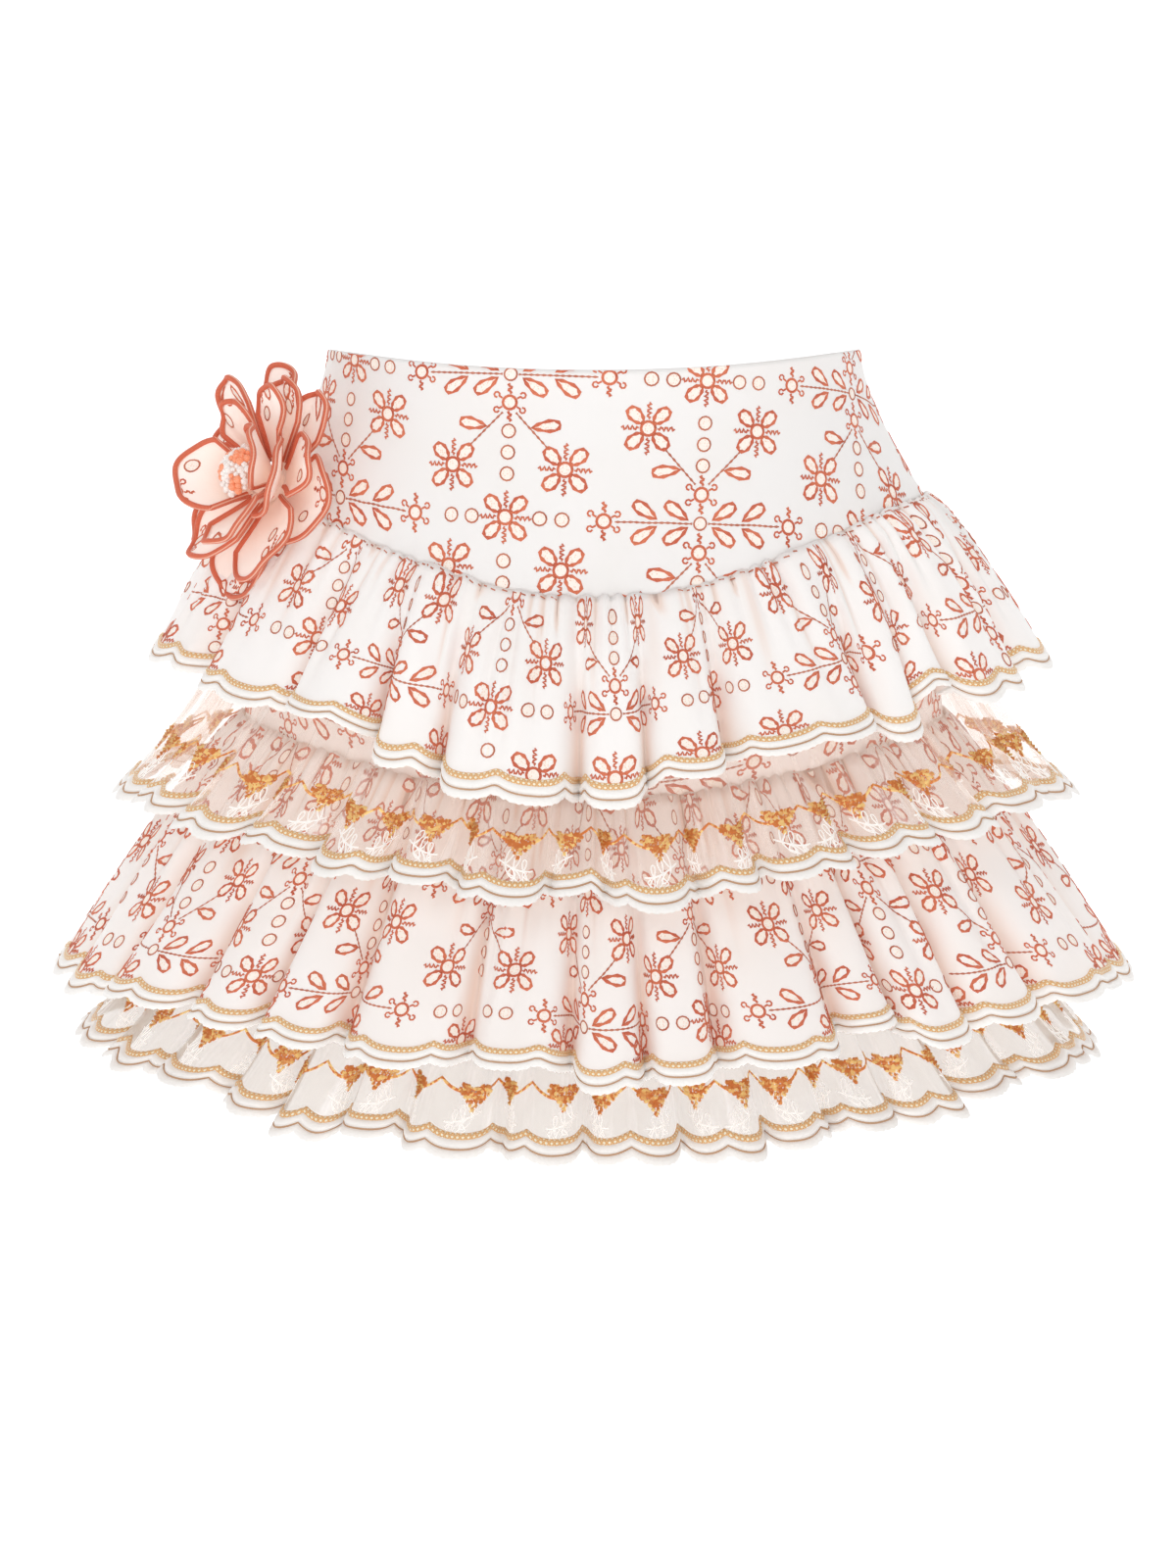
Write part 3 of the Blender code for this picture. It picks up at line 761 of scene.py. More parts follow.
UNDERSKIRT = underskirt_cloth(200, 26)
piece = cloth_piece("underskirt_cloth", UNDERSKIRT, UNDERSKIRT_CLOTH, PEACH_GLOW_COTTON)
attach(piece, "root")
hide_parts("underskirt")
centres = lattice((-0.46, 0.46), (0.0, 0.19), UNDERSKIRT_CROSS, REPEAT_ALONG, REPEAT_DOWN)
flat = laid_out(REPEAT, centres)
work = needlework_piece("underskirt_embroidery", UNDERSKIRT, flat, SHOWN_FROM, lambda along: SHOWN_TO)
size, area = UNDERSKIRT_CUT


# The ruffles are long strips, a little curved and gathered to their seams, so they spring out into deep
# uneven folds. The first and third are embroidered cotton with satin scalloped edges.
TIER_1_HEM = Level(0.2060, 0.1730, -0.136, 0.0450, 2.5)
NET_2_HEM = Level(0.2210, 0.1880, -0.199, 0.0250, 2.8)
TIER_3_HEM = Level(0.2500, 0.2120, -0.281, 0.0130, 2.5)
NET_4_HEM = Level(0.2370, 0.2000, -0.312, 0.0160, 1.5)
RUFFLE_STAND = 0.0010
SEWN_STAND = 0.00075
RUFFLE_CLOTH = 0.0005
SCALLOP_DEPTH = 0.0038
FOLD_SHARE = 0.42
FULL_SWELL_WIDTH = 20.0
FRONT_END = 97.0
BACK_WIDTH_SPREAD, BACK_CREST, BACK_CREST_SPREAD, BACK_DROP_SPREAD = 0.34, 1.2, 3.0, 4.0
WIDTH_STRIDE, CREST_STRIDE = 7, 3
GOLDEN = 0.6180339887
# A lobe is one outward wave of a hem: the turn where it starts, in degrees, and in millimetres how far its
# crest stands out and how far its hem hangs.
Lobe = namedtuple("Lobe", "start crest drop")


def lobes(*rows):
    return [Lobe(*row) for row in rows]


TIER_1_LOBES = lobes(
    (-97.0, -2, 0), (-62.0, -3, -1), (-41.0, 5, -11), (-28.5, -2, 1), (-20.0, 4, 5),
    (-2.0, -1, 6), (6.5, 2, -4), (16.5, 6, -7), (37.5, -3, 5), (45.0, -7, -8),
    (52.0, 2, 5), (70.0, 4, 4),
)
NET_2_LOBES = lobes(
    (-97.0, 0, 1), (-72.0, -2, -2), (-58.0, 1, 0), (-45.0, -1, -3), (-34.0, 2, 1),
    (-24.5, -2, -2), (-16.0, 2, 2), (-5.0, -3, -2), (1.0, 2, 4), (12.0, -1, 0),
    (19.0, 2, -3), (31.0, -1, -4), (43.5, 1, -2), (54.0, -2, -4), (72.0, 1, 1),
)
TIER_3_LOBES = lobes(
    (-97.0, 1, 2), (-76.0, 0, 1), (-62.0, 1, -7), (-46.0, -1, -6), (-36.0, 2, -5),
    (-26.5, 1, -2), (-13.0, -1, -4), (-2.5, 3, 4), (5.0, -1, 2), (12.5, 3, -3),
    (25.5, -4, -12), (32.0, 2, -1), (41.0, 0, -3), (53.0, 1, -3), (74.0, 0, 4),
)
NET_4_LOBES = lobes(
    (-97.0, 3, 0), (-72.0, -1, -2), (-56.0, 1, -7), (-44.0, -2, -2), (-36.5, 2, 3),
    (-28.0, -1, -2), (-21.0, 1, 2), (-10.0, 0, 3), (-1.0, 1, 3), (9.5, 2, 4),
    (18.5, -1, 1), (26.0, 0, -2), (34.0, 1, 0), (43.5, -2, -4), (54.0, 1, -2),
    (72.0, -3, 8),
)
Ruffle = namedtuple("Ruffle", "node seam hem lobes back_lobes valley swell flare scallops gathers")
TIER_1 = Ruffle("tier1_ruffle", YOKE_SEAM, TIER_1_HEM, TIER_1_LOBES, 10, 0.021, 0.0050, 0.90, 54, 96)
NET_2 = Ruffle("tier2_net_ruffle", NET_2_SEAM, NET_2_HEM, NET_2_LOBES, 13, 0.015, 0.0025, 1.70, 56, 120)
TIER_3 = Ruffle("tier3_ruffle", TIER_3_SEAM, TIER_3_HEM, TIER_3_LOBES, 13, 0.019, 0.0035, 1.00, 63, 112)
NET_4 = Ruffle("tier4_net_ruffle", NET_4_SEAM, NET_4_HEM, NET_4_LOBES, 13, 0.015, 0.0025, 1.50, 60, 130)


def wander(step, stride):
    """A number from -1 to 1 that never repeats from one step to the next."""
    return 2.0 * (GOLDEN * (step + 1) * stride % 1.0) - 1.0


def all_lobes(ruffle):
    """The front's lobes, then the back's, which wander from the front's mean sizes."""
    widths = [1.0 + BACK_WIDTH_SPREAD * wander(step, WIDTH_STRIDE) for step in range(ruffle.back_lobes)]
    lobes = list(ruffle.lobes)
    start = FRONT_END
    for step, width in enumerate(widths):
        drift = wander(step, CREST_STRIDE)
        crest = (1.0 if step % 2 else -1.0) * (BACK_CREST + BACK_CREST_SPREAD * abs(drift) / 2.0)
        lobes.append(Lobe(start, crest, BACK_DROP_SPREAD * drift))
        start += (360.0 - 2.0 * FRONT_END) * width / sum(widths)
    return lobes


def hem_offsets(ruffle, turns):
    """For turns in radians: how far the hem stands out, slides sideways and hangs, and where it crests."""
    lobes = all_lobes(ruffle)
    starts = np.array([lobe.start for lobe in lobes] + [lobes[0].start + 360.0])
    degrees = (np.degrees(turns) - starts[0]) % 360.0 + starts[0]
    index = np.clip(np.searchsorted(starts, degrees, side="right") - 1, 0, len(lobes) - 1)
    widths = np.diff(starts)[index]
    phase = (degrees - starts[index]) / widths
    rise = np.sin(math.pi * phase) ** 2
    crest = rise * (1.0 + FOLD_SHARE**2) / (rise + FOLD_SHARE**2)
    crests = np.array([lobe.crest for lobe in lobes]) / 1000.0
    drops = np.array([lobe.drop for lobe in lobes]) / 1000.0
    nearer = np.where(phase < 0.5, index - 1, (index + 1) % len(lobes))
    own = 0.5 + 0.5 * crest
    outward = crest * crests[index] - (1.0 - crest) * ruffle.valley
    swell = ruffle.swell * np.minimum(widths / FULL_SWELL_WIDTH, 1.0)
    sideways = -swell * np.sin(math.tau * phase)
    return outward, sideways, own * drops[index] + (1.0 - own) * drops[nearer], crest


def ridges(turns, count, offset):
    """Uneven rounded gathers round the skirt: 0 in the creases between them, up to 1 on their tops."""
    run = turns / math.tau
    phase = count * run + offset
    for frequency, amount in ((5, 0.9), (13, 0.55), (29, 0.30)):
        phase = phase + amount * np.sin(math.tau * frequency * run + offset * 2.0 + frequency)
    height = 0.72 + 0.28 * np.sin(math.tau * (count // 7) * run + 3.0 * offset)
    return np.abs(np.sin(math.pi * phase)) * height


def gather_ridges(ruffle, turns):
    """The close gathers at a ruffle's seam, and the wider tucks that run on below them."""
    return ridges(turns, ruffle.gathers, 0.3), ridges(turns, ruffle.gathers * 3 // 8, 1.1)


GATHER_RISE = 0.0042
TUCK_RISE = 0.0056
# How far the gathers puff up over the edge they are sewn to, at least and on their tops.
PUFF_LEAST, PUFF_UP = 0.0010, 0.0024
RIPPLE_RISE = 0.0011


def ruffle_points(ruffle, shares, turns):
    """Points of a ruffle at shares of the way down and turns round, gathered above and rippled below."""
    outward, sideways, drop, crest = hem_offsets(ruffle, turns)
    level = between(ruffle.seam, ruffle.hem, shares, ruffle.flare)
    close, wide = gather_ridges(ruffle, turns)
    tight = 0.20 + 0.80 * soft_step(0.0, 0.075, shares)
    puff = (PUFF_LEAST + PUFF_UP * close) * (1.0 - soft_step(0.0, 0.10, shares))
    gathers = GATHER_RISE * close * (1.0 - soft_step(0.05, 0.62, shares)) * tight
    tucks = TUCK_RISE * wide * tight * (0.55 + 0.45 * np.sin(math.pi * shares))
    tucks = tucks * (1.0 - soft_step(0.45, 1.1, shares))
    waver = np.sin(turns * 41.0 + 2.2 * np.sin(turns * 11.0) + 1.5 * shares)
    ripple = RIPPLE_RISE * waver * soft_step(0.3, 1.0, shares)
    stand = SEWN_STAND + (RUFFLE_STAND - SEWN_STAND) * soft_step(0.0, 0.05, shares)
    out = stand + shares * outward + gathers + tucks + ripple
    points = level_points(level, turns, out, SEAM_DROP - puff + np.maximum(shares, 0.0) ** 2 * drop)
    tangent_x, tangent_y = level.half_width * np.cos(turns), level.half_depth * np.sin(turns)
    slide = shares * sideways / np.hypot(tangent_x, tangent_y)
    points[..., 0] += tangent_x * slide
    points[..., 1] += tangent_y * slide
    return points, crest


def ruffle_cloth(ruffle, columns, rows):
    """A ruffle's cloth, with even columns of cloth along its hem, and how deep each point lies in its folds,
    for the shade painted there.
    """
    fine = np.linspace(-math.pi, math.pi, 7201)
    hem, _ = ruffle_points(ruffle, np.ones(1), fine)
    travelled = run_along(hem)
    width = travelled[-1]
    run = np.arange(columns) / columns
    turns = np.interp(run * width, travelled, fine)[None, :]
    middle, _ = ruffle_points(ruffle, np.linspace(0.0, 1.0, 9)[:, None], turns)
    length = line_lengths(middle, 0).mean()
    along = run * ruffle.scallops
    along = along + 0.06 * np.sin(math.tau * along)
    reach = 1.0 + SCALLOP_DEPTH * (np.abs(np.sin(math.pi * along)) - 0.5) / length
    shares = np.linspace(0.0, 1.0, rows + 1)[:, None] * reach[None, :]
    points, crest = ruffle_points(ruffle, shares, turns)
    # The shade painted in the folds comes from deep, how far into the hollow between two lobes a point lies,
    # and from crease, how near it lies to a crease between the gathers or the tucks.
    deep = (1.0 - crest) ** 1.5 * soft_step(0.1, 0.9, shares)
    close, wide = gather_ridges(ruffle, turns)
    short = 0.16 + 0.14 * np.sin(turns * 23.0 + 2.0 * np.sin(turns * 7.0))
    crease = 1.05 * (1.0 - close) ** 7 * (1.0 - soft_step(short * 0.3, short, shares))
    crease = crease + 0.50 * (1.0 - wide) ** 7 * (1.0 - soft_step(0.25, 0.75, shares))
    fold_shade = np.clip(0.60 * deep + crease, 0.0, 1.0)
    return Cloth(points, width, length, True, reach), fold_shade


# The share of its rectangle that a ruffle's curved cut fills.
RUFFLE_FULLNESS = 0.875


def ruffle_cut(cloth):
    """The strip that a ruffle is cut as: a little curved, so that its upper edge is a quarter shorter."""
    size = (round(cloth.width[-1], 2), round(cloth.length, 3))
    return size, round(size[0] * size[1] * RUFFLE_FULLNESS, 4)


def satin_finish(name):
    """White satin stitch: close threads across the edge, bright and slightly pearly, with a painted glow that
    keeps it white where it lies in shade.
    """
    satin = Finish(name, Roughness=0.45, Sheen_Weight=0.3)
    satin.glow(0.13, rgb(255, 250, 246))
    along, across, _ = satin.parts(satin.scaled(satin.place(), (1.0 / 0.00052, 1.0, 1.0)))
    slant = along + across * 0.7
    stitch = slant.math("PINGPONG", slant, 0.5) * 2.0
    satin.set("Base Color", satin.mix(stitch, rgb(238, 233, 228), rgb(255, 255, 254)))
    satin.bump(stitch, 0.0003, 0.5)
    return satin.material


def gold_finish(name):
    """Gold lurex: fine grains of random tone from deep bronze to pale gold, the pale ones painted glints of
    its glitter, under a painted glow.
    """
    gold = Finish(name, Roughness=0.36, Metallic=0.1)
    gold.glow(0.10, rgb(255, 176, 96))
    spot = gold.node("ShaderNodeTexCoord", {}, {}, 3)
    grains = gold.node("ShaderNodeTexVoronoi", {}, {"Scale": 620.0, "Vector": spot}, 1)
    split = gold.node("ShaderNodeSeparateColor", {}, {0: grains})
    light = gold.ramp(split, 0.35, 0.85)
    gold.set("Base Color", gold.mix(light, rgb(214, 118, 56), rgb(255, 220, 146)))
    gold.bump(split, 0.0004, 0.5)
    return gold.material


def plain_thread_finish(name, light, deep):
    """A thin plain cord."""
    cord = Finish(name, Roughness=0.6)
    cord.set("Base Color", cord.mix(cord.noise(400.0, 1.0, cord.place()), light, deep))
    return cord.material


def chain_finish(name):
    """Two rows of gold chain stitch side by side, each link a small loop with the pale cotton in its eye."""
    chain = Finish(name, Roughness=0.40)
    along, across, _ = chain.parts(chain.place())
    rows = across * 2.0
    links = along / 0.0023 + rows.math("FLOOR", rows) * 0.5
    from_middle = links.math("FRACT", links) - 0.5
    from_row = rows.math("FRACT", rows) - 0.5
    apart = (from_middle * from_middle + from_row * from_row * 0.8) ** 0.5
    eye = 1.0 - chain.ramp(apart, 0.20, 0.33)
    gap = chain.ramp(apart, 0.44, 0.52)
    shine = chain.noise(900.0, 1.0, chain.place())
    gold = chain.mix(chain.ramp(shine, 0.4, 0.65), rgb(236, 158, 84), rgb(255, 214, 142))
    chain.set("Base Color", chain.mix(gap, chain.mix(eye, gold, rgb(255, 246, 222)), rgb(246, 214, 172)))
    chain.bump((1.0 - eye) * (1.0 - gap), 0.0004, 0.8)
    return chain.material


SATIN = satin_finish("white_satin_stitch")
CHAIN = chain_finish("gold_chain_stitch")
GOLD = gold_finish("gold_beads")
BROWN = plain_thread_finish("brown_outline", rgb(214, 176, 142), rgb(170, 126, 92))
# The edge's parts in millimetres up from the hem's lowest line: where each begins and ends, and its rise.
Band = namedtuple("Band", "name low high rise finish")
EDGE_BANDS = (
    Band("outer_satin", -0.5, 2.7, 0.75, SATIN),
    Band("outline", 2.7, 3.25, 0.75, BROWN),
    Band("inner_satin", 3.2, 7.2, 1.00, SATIN),
    Band("chain", 7.1, 10.1, 0.80, CHAIN),
)


def along_hem(cloth, count):
    return (np.arange(count) / count - 0.5) * cloth.width[-1]


# The outer satin's lower edge is a row of small tufts: how far they reach, and how wide each is.
TUFT_REACH, TUFT_WIDTH = 0.0008, 0.0034


def edge_band(cloth, band, kind, count):
    """One raised band of the edging, half round in section, that runs all the way round above the hem."""
    along = along_hem(cloth, count)
    steps = np.linspace(0.0, 1.0, 5)
    tufts = TUFT_REACH * np.abs(np.sin(along * math.pi / TUFT_WIDTH)) if band.low < 0.0 else 0.0
    low = cloth.reach_at(along) - band.low / 1000.0 + tufts
    high = cloth.reach_at(along) - band.high / 1000.0
    down = high[None, :] + (low - high)[None, :] * steps[:, None]
    rise = band.rise / 1000.0 * np.sqrt(np.clip(1.0 - (2.0 * steps - 1.0) ** 2, 0.0, 1.0))[:, None] + 0.00005
    spread = np.broadcast_to(along[None, :], down.shape)
    points = cloth.at(spread.ravel(), down.ravel(), np.broadcast_to(rise, down.shape).ravel())
    place = np.stack([spread.ravel(), np.repeat(steps, count)], axis=1)
    faces = grid_faces(4, count, True)
    return points, place, faces, np.full(len(faces), kind)


def stacked(parts):
    """Lots of points, places, faces and the faces' finishes, made into one lot."""
    points, places, faces, kinds = zip(*parts)
    starts = np.cumsum([0] + [len(lot) for lot in points[:-1]])
    faces = [lot + start for lot, start in zip(faces, starts)]
    return [np.concatenate(lots) for lots in (points, places, faces, kinds)]


def edging_piece(name, cloth, count):
    """The scalloped edge of a ruffle: two satin bands with a thin line between, and a gold chain above."""
    bands = [edge_band(cloth, band, kind, count) for kind, band in enumerate(EDGE_BANDS)]
    points, places, faces, kinds = stacked(bands)
    piece = mesh_piece(name, points, faces, [band.finish for band in EDGE_BANDS], places, kinds)
    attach(piece, "root")
    return piece


def border_flower():
    """The half flower that grows out of the gold chain at every second scallop."""
    flat = Flat()
    stitch_flower(flat, 0.0, 0.0, (-42.0, -138.0), (-90.0, -5.0, -175.0))
    return flat.joined()


EDGING_ROOM, FLOWER_ROOM, FLOWER_ROOM_SPREAD = 0.0105, 0.0130, 0.0125


def clear_of_border(cloth, scallops, along, down, reach):
    """Whether a motif of the repeat ends above the edging, and higher still above each half flower."""
    pitch = cloth.width[-1] / scallops
    scallop = (along / cloth.width[-1] + 0.5) * scallops
    off = (scallop - 0.5 - 2.0 * np.round((scallop - 0.5) / 2.0)) * pitch
    room = EDGING_ROOM + FLOWER_ROOM * np.exp(-((off / FLOWER_ROOM_SPREAD) ** 2))
    return down + 0.75 * reach < cloth.reach_at(along) - room


# The stitches that sew the first ruffle to the yoke: how many go round, how long each is, and its thread.
SEAM_STITCHES = 230
SEAM_STITCH = 0.0036
SEAM_THREAD, SEAM_THREAD_RISE = 0.00055, 0.00030


def seam_stitches(cloth, count):
    """Short uneven stitches of cord just under a ruffle's upper edge, with some places left bare."""
    flat = Flat()
    for step in range(count):
        if math.sin(0.21 * step) + math.sin(0.083 * step + 1.0) < -0.6:
            continue
        along = (step / count - 0.5) * cloth.width[-1]
        down = 0.0011 + 0.0004 * math.sin(2.3 * step)
        ends = [(along, down), (along + SEAM_STITCH, down + 0.0003)]
        flat.line(ends, SEAM_THREAD, SEAM_THREAD_RISE, IN_CORD)
    return flat.joined()


BORDER_FLOWER = border_flower()
BORDER_FLOWER_UP = 0.0118
# Where the needlework of a ruffle starts, and how far above the hem the repeat and the half flowers end.
WORK_FROM, REPEAT_UP, BORDER_UP = 0.0010, 0.0098, 0.0090
# Where the crosses of the repeat lie on each embroidered ruffle, in metres above its hem and along from its
# middle, and how many repeats go round it.
Layout = namedtuple("Layout", "ruffle columns rows repeats cross_up cross_along finish")
LAYOUTS = (
    Layout(TIER_1, 780, 28, 10, 0.038, -0.015, UPPER_COTTON),
    Layout(TIER_3, 900, 24, 12, 0.026, -0.004, PEACH_GLOW_COTTON),
)
for layout in LAYOUTS:
    ruffle = layout.ruffle
    cloth, fold_shade = ruffle_cloth(ruffle, layout.columns, layout.rows)
    piece = cloth_piece(ruffle.node + "_cloth", cloth, RUFFLE_CLOTH, layout.finish, fold_shade)
    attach(piece, "root")
    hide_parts(ruffle.node)
    edging = edging_piece(ruffle.node + "_edging", cloth, ruffle.scallops * 24)
    half = cloth.width[-1] / 2.0
    cross = (layout.cross_along, cloth.length - layout.cross_up)
    downs = (-0.06, cloth.length + 0.06)
    centres = lattice((-half, half), downs, cross, half / layout.repeats, REPEAT_DOWN)
    flat = laid_out(REPEAT, centres, 0.0, lambda *motif: clear_of_border(cloth, ruffle.scallops, *motif))
    limit = above_hem(cloth, REPEAT_UP)
    work = needlework_piece(ruffle.node + "_embroidery", cloth, flat, WORK_FROM, limit)
    border = []
    for scallop in range(0, ruffle.scallops, 2):
        along = np.array([((scallop + 0.5) / ruffle.scallops - 0.5) * cloth.width[-1]])
        border.append((along[0], cloth.reach_at(along)[0] - BORDER_FLOWER_UP))
    flat = laid_out(BORDER_FLOWER, border)
    limit = above_hem(cloth, BORDER_UP)
    edge = needlework_piece(ruffle.node + "_border", cloth, flat, WORK_FROM, limit)
    trims = [edging, work, edge]
    if ruffle is TIER_1:
        flat = laid_out(seam_stitches(cloth, SEAM_STITCHES), [(0.0, 0.0)])
        trims.append(needlework_piece("yoke_seam_stitches", cloth, flat, 0.0002, above_hem(cloth, 0.0)))
    size, area = ruffle_cut(cloth)


# The second and fourth ruffles are fine peach net with the same scalloped edge. A gold line with clusters of
# gold beads runs above it, and white leafy sprigs of lace thread hang between the two.
NET_MESH = 0.0011


def net_finish(name, closeness, glow, tint):
    """Sheer net of pale threads, cloudy and streaked. closeness adds to its cover, and glow is a painted glow
    that lightens it.
    """
    net = Finish(name, Roughness=0.42, Sheen_Weight=0.4)
    net.glow(glow, rgb(255, 218, 196))
    place = net.place()
    along, down, _ = net.parts(net.scaled(place, (math.tau / NET_MESH, math.tau / NET_MESH, 1.0)))
    mesh = along.math("SINE", along + down) * along.math("SINE", along - down)
    threads = net.ramp(mesh.math("ABSOLUTE", mesh), 0.0, 0.55, 1.0, 0.0)
    streaks = net.ramp(net.noise(1.0, 2.0, net.scaled(place, (110.0, 16.0, 1.0))), 0.50, 0.74)
    clouds = net.noise(45.0, 2.0, place)
    net.set("Base Color", net.mix(streaks, tint, rgb(255, 252, 250)))
    net.set("Alpha", threads * 0.12 + streaks * 0.20 + clouds * 0.12 + closeness)
    return net.material


def lace_finish(name):
    """White lace thread, a little glossy, with a painted glow that keeps it bright where it lies in shade."""
    lace = Finish(name, Roughness=0.4, Sheen_Weight=0.3)
    lace.glow(0.22, rgb(255, 253, 250))
    shade = lace.noise(500.0, 1.0, lace.place())
    lace.set("Base Color", lace.mix(shade, rgb(255, 254, 252), rgb(236, 230, 224)))
    return lace.material


UPPER_NET = net_finish("peach_net", 0.08, 0.16, rgb(250, 232, 219))
LOWER_NET = net_finish("cream_net", 0.48, 0.0, rgb(208, 194, 180))
LACE = lace_finish("white_lace")
IN_LACE, IN_GOLD = 0, 1
CLUSTER_UP = 0.0265
SPRIG_UP = 0.0165
SPRIG_LEAN = 0.15
# A cluster's rows of gold beads in millimetres: how far down each lies, and where its beads begin and end.
CLUSTER_ROWS = (
    (-5.4, -7.4, -2.6),
    (-5.2, 2.2, 7.6),
    (-3.6, -8.6, 8.8),
    (-1.9, -7.2, 7.6),
    (-0.1, -5.6, 5.2),
    (1.7, -3.4, 3.9),
    (3.4, -2.2, 1.9),
    (5.0, -0.3, 0.5),
)


def gold_cluster():
    """A heart of small gold beads, widest at its top, with its point towards the hem."""
    flat = Flat()
    for row, (down, first, last) in enumerate(CLUSTER_ROWS):
        beads = max(1, int(round((last - first) / 1.9)))
        for step in range(beads):
            x = (first + (last - first) * (step + 0.5) / beads) / 1000.0
            x += 0.0002 * math.sin(9.0 * step + 5.0 * row)
            y = down / 1000.0 + 0.0004 * math.sin(7.0 * step + row)
            radius = 0.00120 + 0.00022 * math.sin(13.0 * step + 3.0 * row)
            rim = np.column_stack([circle(x, y, radius, 6), np.full(6, 0.0001)])
            points = np.concatenate([rim, [(x, y, 0.0014)]])
            flat.add(points, points[:, :2], [(0, 6, 2, 1), (2, 6, 4, 3), (4, 6, 0, 5)], IN_GOLD)
    return flat.joined()


def lace_sprig(hand):
    """A leafy sprig of white thread: a curved stem with pairs of small looped leaves."""
    flat = Flat()
    share = np.linspace(0.0, 1.0, 12)
    stem = np.stack([hand * (0.0150 * share - 0.0070), 0.0072 * np.sin(1.6 * share) - 0.0040], axis=1)
    flat.line(stem, 0.00075, 0.00034, IN_LACE)
    for step in (2, 5, 8):
        x, y = stem[step]
        for side in (-1.0, 1.0):
            angle = side * (50.0 + 4.0 * step) + (0.0 if hand > 0 else 180.0)
            size = 0.0088 - 0.00042 * step
            loop = teardrop(x, y, angle, 0.0, size, size * 0.40, 10)
            flat.line(loop, 0.00062, 0.00030, IN_LACE, True)
    for step in (4, 9):
        x, y = stem[step]
        flat.line(squiggle(x, y, 90.0, 0.0006, 0.0070, 0.0014, 1.2, 9), 0.00060, 0.00030, IN_LACE)
    return flat.joined()


CLUSTER, SPRIG_LEFT, SPRIG_RIGHT = gold_cluster(), lace_sprig(-1.0), lace_sprig(1.0)


def net_needlework(name, cloth, scallops):
    """The gold line, its clusters and the white sprigs of a net ruffle, one of each for each scallop."""
    clusters, left, right = [], [], []
    for step in range(scallops):
        along = ((step + 0.5) / scallops - 0.5) * cloth.width[-1] + 0.003 * math.sin(2.4 * step)
        reach = cloth.reach_at(np.array([along]))[0]
        clusters.append((along, reach - CLUSTER_UP + 0.0012 * math.sin(1.7 * step)))
        (left if step % 2 else right).append((along + 0.004 * math.cos(2.0 * step), reach - SPRIG_UP))
    line = Flat()
    along = along_hem(cloth, scallops * 12)
    run = (along / cloth.width[-1] + 0.5) * scallops
    down = cloth.reach_at(along) - CLUSTER_UP - 0.0036 + 0.0030 * np.abs(np.sin(math.pi * run))
    line.line(np.stack([along, down], axis=1), 0.0013, 0.0005, IN_GOLD)
    sprigs = [laid_out(SPRIG_LEFT, left, SPRIG_LEAN), laid_out(SPRIG_RIGHT, right, -SPRIG_LEAN)]
    points, places, quads, kinds = stacked([laid_out(CLUSTER, clusters), *sprigs, line.joined()[:4]])
    piece = mesh_piece(name, cloth.at(*points.T), quads, [LACE, GOLD], places, kinds)
    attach(piece, "root")
    return piece


for ruffle, net in ((NET_2, UPPER_NET), (NET_4, LOWER_NET)):
    cloth, fold_shade = ruffle_cloth(ruffle, 900, 22)
    piece = cloth_piece(ruffle.node + "_cloth", cloth, 0.0, net, fold_shade)
    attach(piece, "root")
    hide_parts(ruffle.node)
    edging = edging_piece(ruffle.node + "_edging", cloth, ruffle.scallops * 24)
    trims = [edging, net_needlework(ruffle.node + "_lace", cloth, ruffle.scallops)]
    size, area = ruffle_cut(cloth)


# The flower is a corsage pinned to the hip: petals of the skirt's cotton, with painted peach shade towards
# the middle, each bound all round with a coral satin-stitched cord, sewn in rounds to a backing and its stem,
# with glass beads in the middle.
FLOWER_TURN, FLOWER_HEIGHT = -65.0, -0.063
FLOWER_FACING, FLOWER_LIFT, FLOWER_STANDOFF = -52.0, 18.0, 0.0060
BACKING_THICKNESS = 0.0014
STEM_FOOT_RADIUS, STEM_TOP_RADIUS, STEM_HEIGHT = 0.0090, 0.0040, 0.0210
FOOT_CLEARANCE, PETAL_WAIST, PETAL_PINCH, TIP_ROUNDING = 0.0010, 0.75, 0.0010, 0.36
